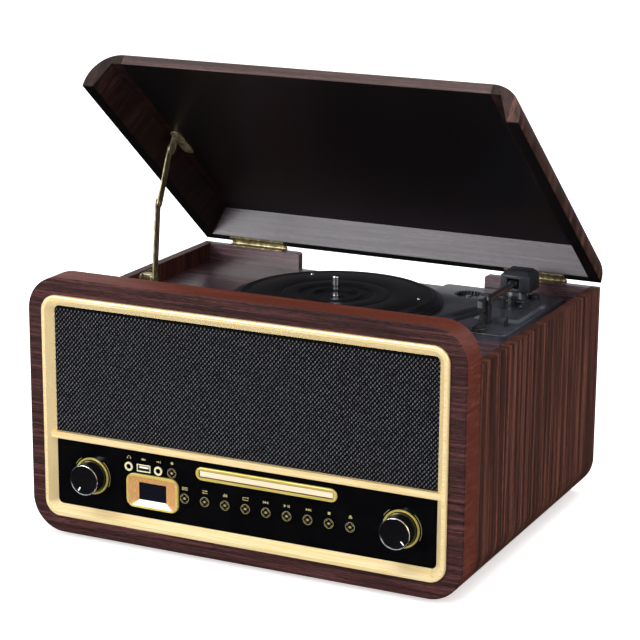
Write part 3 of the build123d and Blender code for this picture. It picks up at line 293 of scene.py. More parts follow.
front_face = cad_low.y + 12.8 * MM
FINISHES = {
    "front_veneer": lambda: rosewood_veneer(
        "rosewood_veneer_front", (0.22, 0.03, 0.0045), (0.006, 0.002, 0.0004),
        ("#1d0d0e", "#371b1b", "#5c3533"),
        # Faces more than 12.8 mm behind the model's front get orange-brown mixed in: painted warm light, as on
        # the lit top and side faces of the panel.
        zones=((1, front_face, False, "#6f3018", 0.38),), roughness=0.45, coat=0.0, specular=0.18),
    "side_veneer": lambda: rosewood_veneer(
        "rosewood_veneer_side", (0.03, 0.0036, 0.30), (0.002, 0.0004, 0.008),
        ("#1a0b09", "#3f231b", "#784738"), roughness=0.45, coat=0.0, specular=0.22),
    "tray_veneer": lambda: rosewood_veneer(
        "rosewood_veneer_tray", (0.20, 0.006, 0.004), (0.008, 0.0005, 0.0005),
        ("#2c1b1e", "#573b42", "#82666f"), coat=0.6),
    "lid_board_veneer": lambda: rosewood_veneer(
        "rosewood_veneer_lid", (0.25, 0.006, 0.004), (0.008, 0.0005, 0.0004),
        ("#21140f", "#3d2623", "#60443f"), turn=LID_TURN,
        zones=((2, lid_height(-9.7), True, "#050405", 0.97),)),
    "lid_rail_veneer": lambda: rosewood_veneer(
        "rosewood_veneer_lid_rail", (0.03, 0.006, 0.20), (0.002, 0.0004, 0.008),
        ("#1c0e0a", "#35201a", "#5c3c33"), turn=LID_TURN, coat=0.1, specular=0.25,
        # The second zone darkens every rail face nearer the middle than 209.5 mm, which takes in the inner faces:
        # painted shade.
        zones=((2, lid_height(-35.6), True, "#060505", 0.97), (0, 0.2095, True, "#070404", 0.6))),
    "lid_rear_veneer": lambda: rosewood_veneer(
        "rosewood_veneer_lid_rear", (0.20, 0.006, 0.004), (0.008, 0.0005, 0.0004),
        ("#241b21", "#453a45", "#625663"), turn=LID_TURN, roughness=0.46, coat=0.2,
        zones=((2, lid_height(-35.6), True, "#060505", 0.97),)),
    "gold": lambda: champagne_gold("champagne_gold_lacquer", "#edcd86", "#f9e8bc", 0.4),
    "yellow_gold": lambda: champagne_gold("yellow_gold_lacquer", "#c9b550", "#dccb78", 0.45, 0.3,
                                          (0.02, 0.0006, 0.0006)),
    "cream_gold": lambda: champagne_gold("cream_gold_lacquer", "#dfc6a6", "#f2dfc6", 0.2, 0.34,
                                         (0.06, 0.0009, 0.0009)),
    "cream_metal": lambda: champagne_gold("cream_plated_ring", "#d5cda0", "#ebe4bf", 0.3, 0.25,
                                          (0.01, 0.0006, 0.0006)),
    # Darker orange-gold for the display surround's top and side slopes: painted shade.
    "gold_painted_shade": lambda: champagne_gold("gold_lacquer_painted_shade", "#b07d45", "#cf9f66", 0.3, 0.45,
                                     (0.0012, 0.0012, 0.0012)),
    # Near-white lacquer: the knob pointers' own colour, and a painted reflection on the display surround's bottom
    # slope.
    "pointer_white_and_painted_reflection": lambda: champagne_gold("white_lacquer_and_painted_reflection", "#f2ebe2", "#fffaf4", 0.1, 0.3,
                                             (0.0012, 0.0012, 0.0012)),
    "brass": antique_brass,
    "cloth": lambda: woven_cloth("woven_acoustic_cloth", "#1d1e24", "#565860"),
    "cloth_back": lambda: woven_cloth("woven_cloth_ground", "#020203", "#060608", 0.05),
    "fascia": lambda: moulded_plastic("gloss_black_acrylic", "#040405", "#070708", 0.1, 0.004, 0.01,
                                      specular=0.22),
    "window": lambda: moulded_plastic("smoked_acrylic_window", "#0a0b12", "#10111a", 0.07, 0.004, 0.01),
    "knob_black": lambda: moulded_plastic("polished_black_abs", "#08080a", "#0e0e11", 0.16, 0.003, 0.02),
    "deck_black": lambda: moulded_plastic("satin_black_polystyrene", "#363a43", "#474c57", 0.3, 0.0012,
                                          0.08, coat=0.3),
    "platter_black": lambda: moulded_plastic("black_rubber_mat", "#111317", "#1a1c21", 0.42, 0.0009, 0.12),
    "arm_black": lambda: moulded_plastic("charcoal_abs", "#1a1c21", "#33363d", 0.33, 0.0008, 0.15),
    # Brown for the strips along the tonearm tube: a painted highlight.
    "arm_painted_highlight": lambda: moulded_plastic("brown_painted_highlight", "#4d3226", "#6b4a38", 0.3, 0.002, 0.05),
    "rubber": lambda: moulded_plastic("black_rubber", "#101011", "#1c1c1d", 0.7, 0.0008, 0.3),
    "drive_grey": lambda: moulded_plastic("grey_abs_housing", "#35363a", "#46474c", 0.5),
    "solder_mask": lambda: moulded_plastic("green_solder_mask", "#0f4a26", "#1a6335", 0.35, 0.002, 0.1),
    "ivory": lambda: moulded_plastic("ivory_abs", "#dcd2c0", "#efe8da", 0.4),
    "chrome": lambda: plated_metal("polished_chrome", "#e9e9ec", "#c4c4ca", 0.12),
    "steel": lambda: plated_metal("zinc_plated_steel", "#b9bbc0", "#8e9096", 0.35),
    "silver": lambda: plated_metal("bright_nickel_ring", "#e6e6ea", "#c6c7cd", 0.18),
    "board": lambda: pressed_board("pressed_fibre_board", "#43342a", "#6b543f"),
    "ink": printed_ink,
}


def lid_height(below_top):
    """Height square to the lid, in metres, at a distance in millimetres below the lid's outer face."""
    top = max(vertex.co.dot(LID_UP) for vertex in nodes["lid_board"].data.vertices)
    return top + below_top * MM


def dress(finish_name, *names):
    """Gives CAD nodes a finish."""
    for name in names:
        slots = nodes[name].data.materials
        slots.clear()
        slots.append(finish(finish_name))


# ---- modelling helpers ------------------------------------------------------------------


def make_piece(name, shape, body, slot, *finishes, crease=32):
    """Turns a bmesh into a finished piece that rides on a body."""
    bmesh.ops.remove_doubles(shape, verts=shape.verts[:], dist=2e-6)
    bmesh.ops.recalc_face_normals(shape, faces=shape.faces[:])
    for edge in shape.edges:
        edge.smooth = len(edge.link_faces) != 2 or edge.calc_face_angle() < radians(crease)
    for face in shape.faces:
        face.smooth = True
    mesh = bpy.data.meshes.new(name)
    shape.to_mesh(mesh)
    shape.free()
    for finish_name in finishes:
        mesh.materials.append(finish(finish_name))
    piece = bpy.data.objects.new(name, mesh)
    bpy.context.scene.collection.objects.link(piece)
    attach(piece, body)
    return piece


def spin_profile(shape, profile, centre, axis, steps=96, slot_index=0, closed=False, angle=2 * pi):
    """Spins (radius, height) points in millimetres round an axis through a centre."""
    axis = axis.normalized()
    out = axis.orthogonal().normalized()
    points = [shape.verts.new(centre + (out * radius + axis * height) * MM) for radius, height in profile]
    ends = points[1:] + (points[:1] if closed else [])
    edges = [shape.edges.new(pair) for pair in zip(points, ends)]
    before = set(shape.faces)
    bmesh.ops.spin(shape, geom=points + edges, cent=centre, axis=axis, angle=angle, steps=steps,
                   use_merge=angle > 6.28, dvec=(0, 0, 0))
    for face in set(shape.faces) - before:
        face.material_index = slot_index
    bmesh.ops.remove_doubles(shape, verts=shape.verts[:], dist=2e-6)


def add_block(shape, centre, size, turn=None, ease=0.0, segments=2, slot_index=0):
    """A block with eased edges. Its size and ease are in millimetres."""
    matrix = Matrix.Translation(centre) @ (turn or Matrix.Identity(4)) @ Matrix.Diagonal(
        [side * MM for side in size] + [1.0])
    made = bmesh.ops.create_cube(shape, size=1.0, matrix=matrix)["verts"]
    faces = {face for vertex in made for face in vertex.link_faces}
    for face in faces:
        face.material_index = slot_index
    if ease:
        edges = {edge for vertex in made for edge in vertex.link_edges}
        bmesh.ops.bevel(shape, geom=list(edges), offset=ease * MM, offset_type="OFFSET", affect="EDGES",
                        segments=segments, profile=0.5, material=-1, clamp_overlap=True)


def add_plate(shape, outline, place, thick, slot_index=0):
    """A flat plate from an outline in millimetres. place maps (a, b, depth) to a point."""
    corners = [shape.verts.new(place(a, b, 0.0)) for a, b in outline]
    face = shape.faces.new(corners)
    face.material_index = slot_index
    raised = bmesh.ops.extrude_face_region(shape, geom=[face])["geom"]
    shift = place(0, 0, thick) - place(0, 0, 0)
    moved = [item for item in raised if isinstance(item, bmesh.types.BMVert)]
    bmesh.ops.translate(shape, verts=moved, vec=shift)
    for item in raised:
        if isinstance(item, bmesh.types.BMFace):
            item.material_index = slot_index


def rounded_outline(width, height, radius, place, forward, steps=8):
    """Points round a rounded rectangle in millimetres, set forward of a plane."""
    points = []
    for a, b, start in ((1, 1, 0.0), (-1, 1, 0.5), (-1, -1, 1.0), (1, -1, 1.5)):
        for step in range(steps + 1):
            turn = (start + 0.5 * step / steps) * pi
            points.append(place(a * (width / 2 - radius) + radius * cos(turn),
                                b * (height / 2 - radius) + radius * sin(turn), forward))
    return points


def add_loops(shape, loops):
    """Joins closed loops of points into a ring-shaped skin, the last loop to the first."""
    rings = [[shape.verts.new(point) for point in loop] for loop in loops]
    for ring, following in zip(rings, rings[1:] + rings[:1]):
        count = len(ring)
        for i in range(count):
            j = (i + 1) % count
            shape.faces.new((ring[i], ring[j], following[j], following[i]))


def eased_copy(node, body, slot, finish_name, ease=0.5, segments=2, crease=30, sharp=35):
    """A copy of a CAD node with its sharp edges eased by a width in millimetres."""
    shape = bmesh.new()
    shape.from_mesh(nodes[node].data)
    bmesh.ops.remove_doubles(shape, verts=shape.verts[:], dist=2e-6)
    bmesh.ops.dissolve_limit(shape, angle_limit=radians(1.0), verts=shape.verts[:], edges=shape.edges[:])
    edges = [edge for edge in shape.edges
             if len(edge.link_faces) == 2 and edge.calc_face_angle() > radians(sharp)]
    bmesh.ops.bevel(shape, geom=edges, offset=ease * MM, offset_type="OFFSET", affect="EDGES",
                    segments=segments, profile=0.5, material=-1, clamp_overlap=True)
    piece = make_piece(node + "_eased", shape, body, slot, finish_name, crease=crease)
    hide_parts(node)
    return piece


FRONT_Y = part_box("front_panel")[0].y
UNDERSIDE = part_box("base_board")[0].z
FASCIA_Y = FRONT_Y + 4 * MM

# Places and sizes in millimetres, measured as in at().
CLOTH_HALF_WIDTH, CLOTH_LOW, CLOTH_HIGH = 194.4, 98.6, 222.0
SURROUND_RADIUS = 8.0               # corners of the display's surround
WINDOW_INSET = (11.4, 7.4)          # how much smaller its opening is than the window, across and up
JACK_RADIUS = 4.5
ADAPTER_PLACE = (98.0, 303.0, 194.3)
ADAPTER_TOOTH_RADIUS = 12.8
ARM_X, ARM_DEPTH = 153.0, 288.0     # the tonearm's pivot


def at(x, depth, height):
    """A point from millimetres: right of centre, behind the front panel, above the case's underside."""
    return Vector((x * MM, FRONT_Y + depth * MM, UNDERSIDE + height * MM))


def on_front(y, x=0.0, z=0.0, turn=0.0):
    """Maps (right, up, forward) in millimetres to points on a plane that faces the front."""
    def place(a, b, forward):
        across = a * cos(turn) - b * sin(turn)
        rise = a * sin(turn) + b * cos(turn)
        return Vector((x + across * MM, y - forward * MM, z + rise * MM))
    return place


def add_arc(shape, centre, radius, start, sweep, width, height, axis=FRONT, slot_index=0, lift=0.0):
    """A flat bar bent to an arc.

    start and sweep are in degrees by the right-hand rule about the axis. start counts from up, or
    from the rear where the axis is upright."""
    first = UP if abs(axis.z) < 0.5 else BACK
    turned = Matrix.Rotation(radians(start), 3, axis) @ first
    corners = ((-width / 2, lift), (width / 2, lift), (width / 2, lift + height), (-width / 2, lift + height))
    points = [shape.verts.new(centre + (turned * (radius + a) + axis * b) * MM) for a, b in corners]
    edges = [shape.edges.new((points[i], points[(i + 1) % 4])) for i in range(4)]
    whole = abs(sweep) > 359
    before = set(shape.faces)
    steps = max(4, int(abs(sweep) * radius / 60)) if not whole else max(24, int(radius * 6))
    bmesh.ops.spin(shape, geom=points + edges, cent=centre, axis=axis, angle=radians(sweep), steps=steps,
                   use_merge=whole, dvec=(0, 0, 0))
    if not whole:
        loose = [edge for edge in shape.edges
                 if len(edge.link_faces) == 1 and edge.link_faces[0] not in before]
        bmesh.ops.holes_fill(shape, edges=loose, sides=4)
    for face in set(shape.faces) - before:
        face.material_index = slot_index


# ---- settings ---------------------------------------------------------------------------


class ClothSettings(bpy.types.PropertyGroup):
    pitch: bpy.props.FloatProperty(name="Thread pitch", description="Distance between the cloth's threads",
                                   default=0.004, unit="LENGTH")
    row: bpy.props.FloatProperty(name="Row pitch", description="Distance between the cloth's rows",
                                 default=0.0023, unit="LENGTH")


class DeckSettings(bpy.types.PropertyGroup):
    mat_rings: bpy.props.IntProperty(name="Mat rings", description="Number of shallow rings in the mat",
                                     default=3, min=0, max=8)
    adapter_teeth: bpy.props.IntProperty(name="Adapter teeth", default=22, min=6, max=60,
                                         description="Number of teeth round the adapter recess")


class StageSettings(bpy.types.PropertyGroup):
    lens: bpy.props.FloatProperty(name="Lens", description="Focal length of the camera in millimetres",
                                  default=125.2)
    key_power: bpy.props.FloatProperty(name="Key power", description="Power of the main light",
                                       default=66.0, unit="POWER")
    floor_colour: bpy.props.StringProperty(name="Floor colour", description="sRGB hex colour of the floor",
                                           default="#f6f6f6")


# ---- operators --------------------------------------------------------------------------


class RECORD_PLAYER_OT_case(bpy.types.Operator):
    """Veneer the case and finish its boards and feet"""
    bl_idname = "record_player.case"
    bl_label = "Case"

    def execute(self, context):
        dress("front_veneer", "front_panel")
        dress("side_veneer", "side_left", "side_right")
        dress("tray_veneer", "rear_wall", "tray_floor")
        dress("board", "base_board", "floor_battens", "baffle")
        dress("rubber", "feet")
        dress("arm_black", "socket_panel")
        return {"FINISHED"}


class RECORD_PLAYER_OT_lid(bpy.types.Operator):
    """Veneer the lid and its rails"""
    bl_idname = "record_player.lid"
    bl_label = "Lid"

    def execute(self, context):
        dress("lid_board_veneer", "lid_board")
        dress("lid_rail_veneer", "lid_side_rails")
        dress("lid_rear_veneer", "lid_rail_rear")
        return {"FINISHED"}


class RECORD_PLAYER_OT_fittings(bpy.types.Operator):
    """Finish the hinges and ease the edges of the lid stay's brackets and arms"""
    bl_idname = "record_player.fittings"
    bl_label = "Hinges and stay"

    def execute(self, context):
        dress("brass", "hinge_case_leaves", "hinge_lid_leaves")
        eased_copy("stay_bracket", "case", "brass", "brass", 0.3)
        eased_copy("stay_lid_bracket", "lid", "brass", "brass", 0.3)
        eased_copy("stay_arm_lower", "stay_lower", "brass", "brass", 0.25)
        eased_copy("stay_arm_upper", "stay_upper", "brass", "brass", 0.25)
        return {"FINISHED"}


class RECORD_PLAYER_OT_speaker_front(bpy.types.Operator):
    """Finish the gold bezel and weave the acoustic cloth"""
    bl_idname = "record_player.speaker_front"
    bl_label = "Speaker front"

    def execute(self, context):
        cloth = context.scene.record_player_cloth
        dress("gold", "bezel")
        dress("cloth_back", "grille")
        pitch, row = cloth.pitch / MM, cloth.row / MM
        shape = bmesh.new()
        columns = int(2 * CLOTH_HALF_WIDTH / pitch)
        rows = int((CLOTH_HIGH - CLOTH_LOW) / row / 2)
        lean = Matrix.Rotation(radians(22), 4, "Y")
        for shift, rise in ((0.0, 0.0), (pitch / 2, row)):
            place = Matrix.Translation(at(-CLOTH_HALF_WIDTH + 1 + shift, 4.05, CLOTH_LOW + 1 + rise))
            size = Matrix.Diagonal((0.85 * MM, 0.5 * MM, 1.5 * MM, 1.0))
            bmesh.ops.create_icosphere(shape, subdivisions=1, radius=1.0, matrix=place @ lean @ size)
        piece = make_piece("cloth_weave", shape, "case", "speaker_cloth", "cloth", crease=180)
        for name, count, step in (("columns", columns, (cloth.pitch, 0, 0)),
                                  ("rows", rows, (0, 0, 2 * cloth.row))):
            array = piece.modifiers.new(name, "ARRAY")
            array.count = count
            array.use_relative_offset = False
            array.use_constant_offset = True
            array.constant_offset_displace = step
        return {"FINISHED"}


class RECORD_PLAYER_OT_controls(bpy.types.Operator):
    """Finish the control panel, display, disc slot and sockets"""
    bl_idname = "record_player.controls"
    bl_label = "Control panel"

    def execute(self, context):
        dress("fascia", "control_panel")
        dress("window", "display_window")
        dress("yellow_gold", "slot_frame", "knob_rings")
        low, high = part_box("display_frame")
        wide, tall, proud = (high.x - low.x) / MM, (high.z - low.z) / MM, (FASCIA_Y - low.y) / MM
        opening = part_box("display_window")
        win_wide = (opening[1].x - opening[0].x) / MM - WINDOW_INSET[0]
        win_tall = (opening[1].z - opening[0].z) / MM - WINDOW_INSET[1]
        sections = ((0.0, 0.0), (0.0, proud - 0.9), (0.25, proud - 0.3), (0.7, proud), (2.1, proud),
                    (2.5, proud - 0.2))
        place = on_front(FASCIA_Y, middle("display_frame").x, middle("display_frame").z)
        loops = [rounded_outline(wide - 2 * inset, tall - 2 * inset, SURROUND_RADIUS - inset, place, forward)
                 for inset, forward in sections]
        loops += [rounded_outline(win_wide, win_tall, 0.8, place, forward) for forward in (0.3, 0.0)]
        surround = bmesh.new()
        add_loops(surround, loops)
        for face in surround.faces:
            away = (face.calc_center_median() - middle("display_frame")) / MM
            across, rise = abs(away.x) - win_wide / 2, abs(away.z) - win_tall / 2
            if abs(away.x) < wide / 2 - 2.6 and abs(away.z) < tall / 2 - 2.6:
                # The gold inner slopes come in lit and shaded copies: darker orange-gold on the top and sides is
                # painted shade, and near-white at the bottom is a painted reflection.
                face.material_index = 2 if away.z < 0 and rise > across else 1
        made = make_piece("display_surround", surround, "case", "gold_trim", "yellow_gold", "gold_painted_shade",
                          "pointer_white_and_painted_reflection")
        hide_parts("display_frame")
        dress("cream_gold", "disc_tray")
        dress("knob_black", "audio_jacks")
        dress("steel", "data_port")
        jack_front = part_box("audio_jacks")[0].y
        jacks = bmesh.new()
        ring = ((2.4, 0.0), (2.4, 0.4), (2.7, 0.7), (4.0, 0.7), (4.4, 0.3), (4.4, 0.0))
        row_z = middle("audio_jacks").z
        low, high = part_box("audio_jacks")
        for x in (low.x + JACK_RADIUS * MM, high.x - JACK_RADIUS * MM):
            spin_profile(jacks, ring, Vector((x, jack_front, row_z)), FRONT, 48, closed=True)
        make_piece("jack_rings", jacks, "case", "steel", "cream_metal")
        port = middle("data_port")
        port_low, port_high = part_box("data_port")
        frame_shape = bmesh.new()
        wide, tall = (port_high.x - port_low.x) / MM, (port_high.z - port_low.z) / MM
        for side in (-1, 1):
            spot = Vector((port.x + side * (wide / 2 + 0.5) * MM, FASCIA_Y - 0.35 * MM, port.z))
            add_block(frame_shape, spot, (1.0, 0.7, tall + 2.0), None, 0.2)
            spot = Vector((port.x, FASCIA_Y - 0.35 * MM, port.z + side * (tall / 2 + 0.5) * MM))
            add_block(frame_shape, spot, (wide, 0.7, 1.0), None, 0.2)
        make_piece("data_port_frame", frame_shape, "case", "steel", "cream_metal")
        tongue = bmesh.new()
        spot = Vector((port.x, port_low.y + 1.4 * MM, port.z + 0.7 * MM))
        add_block(tongue, spot, (9.6, 2.4, 1.5), None, 0.15)
        make_piece("data_port_tongue", tongue, "case", "black_plastic", "ivory")
        return {"FINISHED"}


class RECORD_PLAYER_OT_knobs(bpy.types.Operator):
    """Turn the two knobs with their bright rims, face discs and pointers"""
    bl_idname = "record_player.knobs"
    bl_label = "Knobs"

    def execute(self, context):
        body = ((3.05, 0.0), (14.8, 0.0), (15.3, 0.6), (15.3, 1.6), (15.0, 2.4), (14.9, 12.8), (14.8, 14.1),
                (14.5, 14.8), (14.0, 15.0), (13.7, 14.6), (13.4, 14.2), (12.8, 14.1), (0.0, 14.1), (0.0, 10.0),
                (3.05, 10.0))
        rim = ((13.7, 14.4), (13.85, 14.95), (14.2, 15.2), (14.55, 15.1), (14.8, 14.4))
        for node, body_name, pointer in (("knob_volume", "volume", 210.0), ("knob_tuning", "tuning", 135.0)):
            centre = Vector((middle(node).x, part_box(node)[1].y, middle(node).z))
            shape = bmesh.new()
            spin_profile(shape, body, centre, FRONT, 96, 0, closed=True)
            spin_profile(shape, rim, centre, FRONT, 96, 1, closed=True)
            turn = radians(pointer)
            spot = centre + Vector((sin(turn) * 10.6, -14.2, cos(turn) * 10.6)) * MM
            add_block(shape, spot, (1.1, 0.5, 4.2), Matrix.Rotation(turn, 4, "Y"), 0.15, 2, 2)
            knob = make_piece(node + "_turned", shape, body_name, "black_plastic", "knob_black", "silver",
                              "pointer_white_and_painted_reflection")
            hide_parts(node)
        marks = bmesh.new()
        for node in ("knob_volume", "knob_tuning"):
            centre = Vector((middle(node).x, FASCIA_Y, middle(node).z))
            add_arc(marks, centre, 19.6, -40.0, -75.0, 0.35, 0.12)
            add_arc(marks, centre, 19.6, 35.0, 25.0, 0.35, 0.12)
        make_piece("knob_scale_arcs", marks, "case", "gold_trim", "ink")
        return {"FINISHED"}


class RECORD_PLAYER_OT_buttons(bpy.types.Operator):
    """Inlay a gold ring, petals and an eye in each push button"""
    bl_idname = "record_player.buttons"
    bl_label = "Buttons"

    def execute(self, context):
        for name in BUTTONS:
            node = "button_" + name
            dress("knob_black", node)
            centre = Vector((middle(node).x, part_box(node)[0].y, middle(node).z))
            shape = bmesh.new()
            add_arc(shape, centre, 4.45, 0, 360, 0.26, 0.14)
            for start in (20.0, 110.0, 200.0, 290.0):
                add_arc(shape, centre, 3.35, start, 50.0, 0.24, 0.12)
            for side in (1, -1):
                away = centre + UP * (side * 1.7 * MM)
                add_arc(shape, away, 2.6, 140.0 if side > 0 else -40.0, 80.0, 0.22, 0.12)
            spin_profile(shape, ((0.0, 0.0), (0.75, 0.0), (0.7, 0.16), (0.0, 0.2)), centre, FRONT, 20)
            make_piece(node + "_inlay", shape, node, "gold_trim", "ink")
        return {"FINISHED"}


def circle_outline(x, z, radius, count=20):
    """A round outline in millimetres."""
    return [(x + radius * cos(2 * pi * i / count), z + radius * sin(2 * pi * i / count)) for i in range(count)]


def bar(x, z, width, height):
    """A rectangular outline in millimetres, centred on x and z."""
    return [(x - width / 2, z - height / 2), (x + width / 2, z - height / 2), (x + width / 2, z + height / 2),
            (x - width / 2, z + height / 2)]


def arrow(x, z, width, height, facing=1):
    """A triangle that points right, or left where facing is -1."""
    return [(x - facing * width / 2, z - height / 2), (x + facing * width / 2, z),
            (x - facing * width / 2, z + height / 2)][::facing]


SYMBOL_SCALE = 1.15
SYMBOLS = {
    "record": [circle_outline(0, 0, 1.2)],
    "mode": [bar(0, 1.0, 5.2, 0.5), bar(0, 0, 5.2, 0.5), bar(0, -1.0, 5.2, 0.5)],
    "source": [arrow(1.7, 0.9, 1.6, 1.6), bar(-0.8, 0.9, 3.2, 0.5), arrow(-1.7, -0.9, 1.6, 1.6, -1),
               bar(0.8, -0.9, 3.2, 0.5)],
    "equaliser": [bar(-1.5, -0.4, 0.6, 1.6), bar(-0.5, 0.1, 0.6, 2.6), bar(0.5, -0.2, 0.6, 2.0),
                  bar(1.5, 0.0, 0.6, 2.4)],
    "repeat": [bar(0, 1.0, 4.6, 0.45), bar(0, -1.0, 4.6, 0.45), bar(-2.3, 0, 0.45, 2.4),
               arrow(2.4, 1.0, 1.4, 1.6)],
    "previous": [bar(-2.5, 0, 0.5, 2.2), arrow(-1.2, 0, 1.9, 2.2, -1), arrow(0.9, 0, 1.9, 2.2, -1)],
    "play": [arrow(-1.6, 0, 2.2, 2.4), bar(0.9, 0, 0.6, 2.2), bar(2.0, 0, 0.6, 2.2)],
    "next": [arrow(-0.9, 0, 1.9, 2.2), arrow(1.2, 0, 1.9, 2.2), bar(2.5, 0, 0.5, 2.2)],
    "stop": [bar(0, 0, 2.2, 2.2)],
    "open": [[(-1.6, -0.3), (1.6, -0.3), (0, 1.5)], bar(0, -1.0, 3.2, 0.5)],
}


class RECORD_PLAYER_OT_symbols(bpy.types.Operator):
    """Print a plain symbol above each button and socket"""
    bl_idname = "record_player.symbols"
    bl_label = "Printed symbols"

    def execute(self, context):
        shape = bmesh.new()
        for name, outlines in SYMBOLS.items():
            spot = middle("button_" + name)
            place = on_front(FASCIA_Y, spot.x, spot.z + 9.4 * MM)
            for outline in outlines:
                add_plate(shape, [(a * SYMBOL_SCALE, b * SYMBOL_SCALE) for a, b in outline], place, 0.12)
        low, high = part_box("audio_jacks")
        jack_z = middle("audio_jacks").z + 8.6 * MM
        phones = Vector((low.x + JACK_RADIUS * MM, FASCIA_Y, jack_z))
        add_arc(shape, phones, 1.6, -90.0, 180.0, 0.45, 0.12)
        for side in (-1.6, 1.6):
            add_plate(shape, bar(side, -0.5, 1.0, 1.4), on_front(FASCIA_Y, phones.x, phones.z), 0.12)
        line_in = on_front(FASCIA_Y, high.x - JACK_RADIUS * MM, jack_z)
        for outline in (arrow(0.4, 0, 1.8, 2.0), bar(-1.4, 0, 2.0, 0.5), bar(2.0, 0, 0.5, 2.4)):
            add_plate(shape, outline, line_in, 0.12)
        port = on_front(FASCIA_Y, middle("data_port").x, jack_z)
        for outline in (bar(-0.8, 0, 3.0, 1.6), bar(1.5, 0.4, 1.2, 0.4), bar(1.5, -0.4, 1.2, 0.4)):
            add_plate(shape, outline, port, 0.12)
        make_piece("printed_symbols", shape, "case", "gold_trim", "ink")
        return {"FINISHED"}


class RECORD_PLAYER_OT_platter(bpy.types.Operator):
    """Turn the platter with its ringed mat and bright studs"""
    bl_idname = "record_player.platter"
    bl_label = "Platter"

    def execute(self, context):
        deck = context.scene.record_player_deck
        centre = middle("platter")
        foot = Vector((centre.x, centre.y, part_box("platter")[0].z))
        low_rim, top = 0.6, 7.4
        rings = []
        for index in range(deck.mat_rings):
            radius = 91.0 - index * 1.8
            rings += [(radius, top), (radius - 0.4, top - 0.25), (radius - 0.8, top)]
        profile = ([(3.85, 0.0), (9.0, 0.0), (9.0, 2.6), (69.0, 2.6), (69.0, low_rim), (72.0, low_rim),
                    (72.0, top - 2.6), (97.0, top - 2.6), (97.0, low_rim), (104.6, low_rim),
                    (105.0, low_rim + 0.4),
                    (105.0, low_rim + 1.6), (104.6, low_rim + 2.0), (100.6, low_rim + 2.5),
                    (100.0, low_rim + 3.0), (100.0, top - 3.0), (99.6, top - 2.6),
                    (98.0, top - 2.2), (95.9, top - 1.9), (95.3, top - 1.6),
                    (94.5, top - 0.5), (94.2, top - 0.15), (93.7, top)] + rings +
                   [(55.0, top), (54.6, top - 0.15), (54.3, top - 0.5), (53.5, top - 0.5), (53.2, top - 0.15),
                    (52.8, top), (38.4, top), (37.9, top - 0.2), (36.4, top - 1.5), (35.8, top - 1.6),
                    (27.4, top - 1.6), (26.8, top - 1.4), (25.9, top - 0.4), (25.2, top - 0.2), (23.2, top - 0.2),
                    (22.6, top - 0.5), (21.0, top - 2.2), (20.2, top - 2.4), (8.2, top - 2.4), (7.6, top - 2.2),
                    (6.6, top - 1.6), (3.85, top - 1.6)])
        shape = bmesh.new()
        spin_profile(shape, profile, foot, UP, 180, closed=True)
        made = make_piece("platter_turned", shape, "platter", "black_plastic", "platter_black", crease=50)
        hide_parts("platter")
        studs = bmesh.new()
        for index in range(3):
            angle = radians(12.0 + 120.0 * index)
            spot = foot + Vector((cos(angle) * 82.5, sin(angle) * 82.5, top)) * MM
            spin_profile(studs, ((0.0, 0.0), (2.4, 0.0), (2.3, 0.4), (1.6, 0.8), (0.0, 0.9)), spot, UP, 28)
        make_piece("platter_studs", studs, "platter", "steel", "silver")
        dress("chrome", "spindle")
        return {"FINISHED"}


class RECORD_PLAYER_OT_deck(bpy.types.Operator):
    """Mould the deck plate, the adapter recess's teeth and the steps round the arm"""
    bl_idname = "record_player.deck"
    bl_label = "Deck"

    def execute(self, context):
        deck = context.scene.record_player_deck
        dress("deck_black", "deck_plate")
        shape = bmesh.new()
        centre = at(*ADAPTER_PLACE)
        for index in range(deck.adapter_teeth):
            turn = 2 * pi * index / deck.adapter_teeth
            spot = centre + Vector((cos(turn) * ADAPTER_TOOTH_RADIUS, sin(turn) * ADAPTER_TOOTH_RADIUS,
                                    1.55)) * MM
            add_block(shape, spot, (2.0, 1.7, 3.1), Matrix.Rotation(turn, 4, "Z"), 0.25)
        spin_profile(shape, ((0.0, 0.0), (3.6, 0.0), (3.3, 1.0), (2.6, 1.5), (0.0, 1.5)), centre, UP, 40)
        make_piece("adapter_recess_teeth", shape, "case", "deck_black", "deck_black")
        steps = bmesh.new()
        pivot = at(ARM_X, ARM_DEPTH, 200.5)
        for radius in (17.5, 21.5, 25.5):
            add_arc(steps, pivot, radius, -90.0, 250.0, 1.2, 0.5, axis=UP)
        make_piece("arm_base_steps", steps, "case", "deck_black", "deck_black")
        eased_copy("speed_selector", "speed_selector", "black_plastic", "arm_black", 0.25)
        eased_copy("stop_switch", "stop_switch", "black_plastic", "arm_black", 0.3)
        return {"FINISHED"}


class RECORD_PLAYER_OT_tonearm(bpy.types.Operator):
    """Ease the tonearm's parts and lay a thin brown strip along each side of its tube as a painted highlight"""
    bl_idname = "record_player.tonearm"
    bl_label = "Tonearm"

    def execute(self, context):
        eased_copy("tonearm_block", "arm_block", "deck_black", "arm_black", 0.45)
        eased_copy("tonearm", "arm", "black_plastic", "arm_black", 0.25)
        eased_copy("tonearm_base", "case", "deck_black", "arm_black", 0.35)
        eased_copy("arm_rest", "case", "black_plastic", "arm_black", 0.4)
        eased_copy("cue_lift", "cue_lift", "black_plastic", "arm_black", 0.25)
        eased_copy("cue_lever", "cue_lever", "black_plastic", "arm_black", 0.4)
        dress("arm_black", "cartridge")
        shape = bmesh.new()
        # A thin brown strip on each side of the tube: a painted highlight.
        for side in (-1, 1):
            add_block(shape, at(ARM_X + side * 2.62, 241.0, 218.5), (0.5, 70.0, 2.4), None, 0.15)
        make_piece("arm_painted_highlights", shape, "arm", "black_plastic", "arm_painted_highlight")
        return {"FINISHED"}


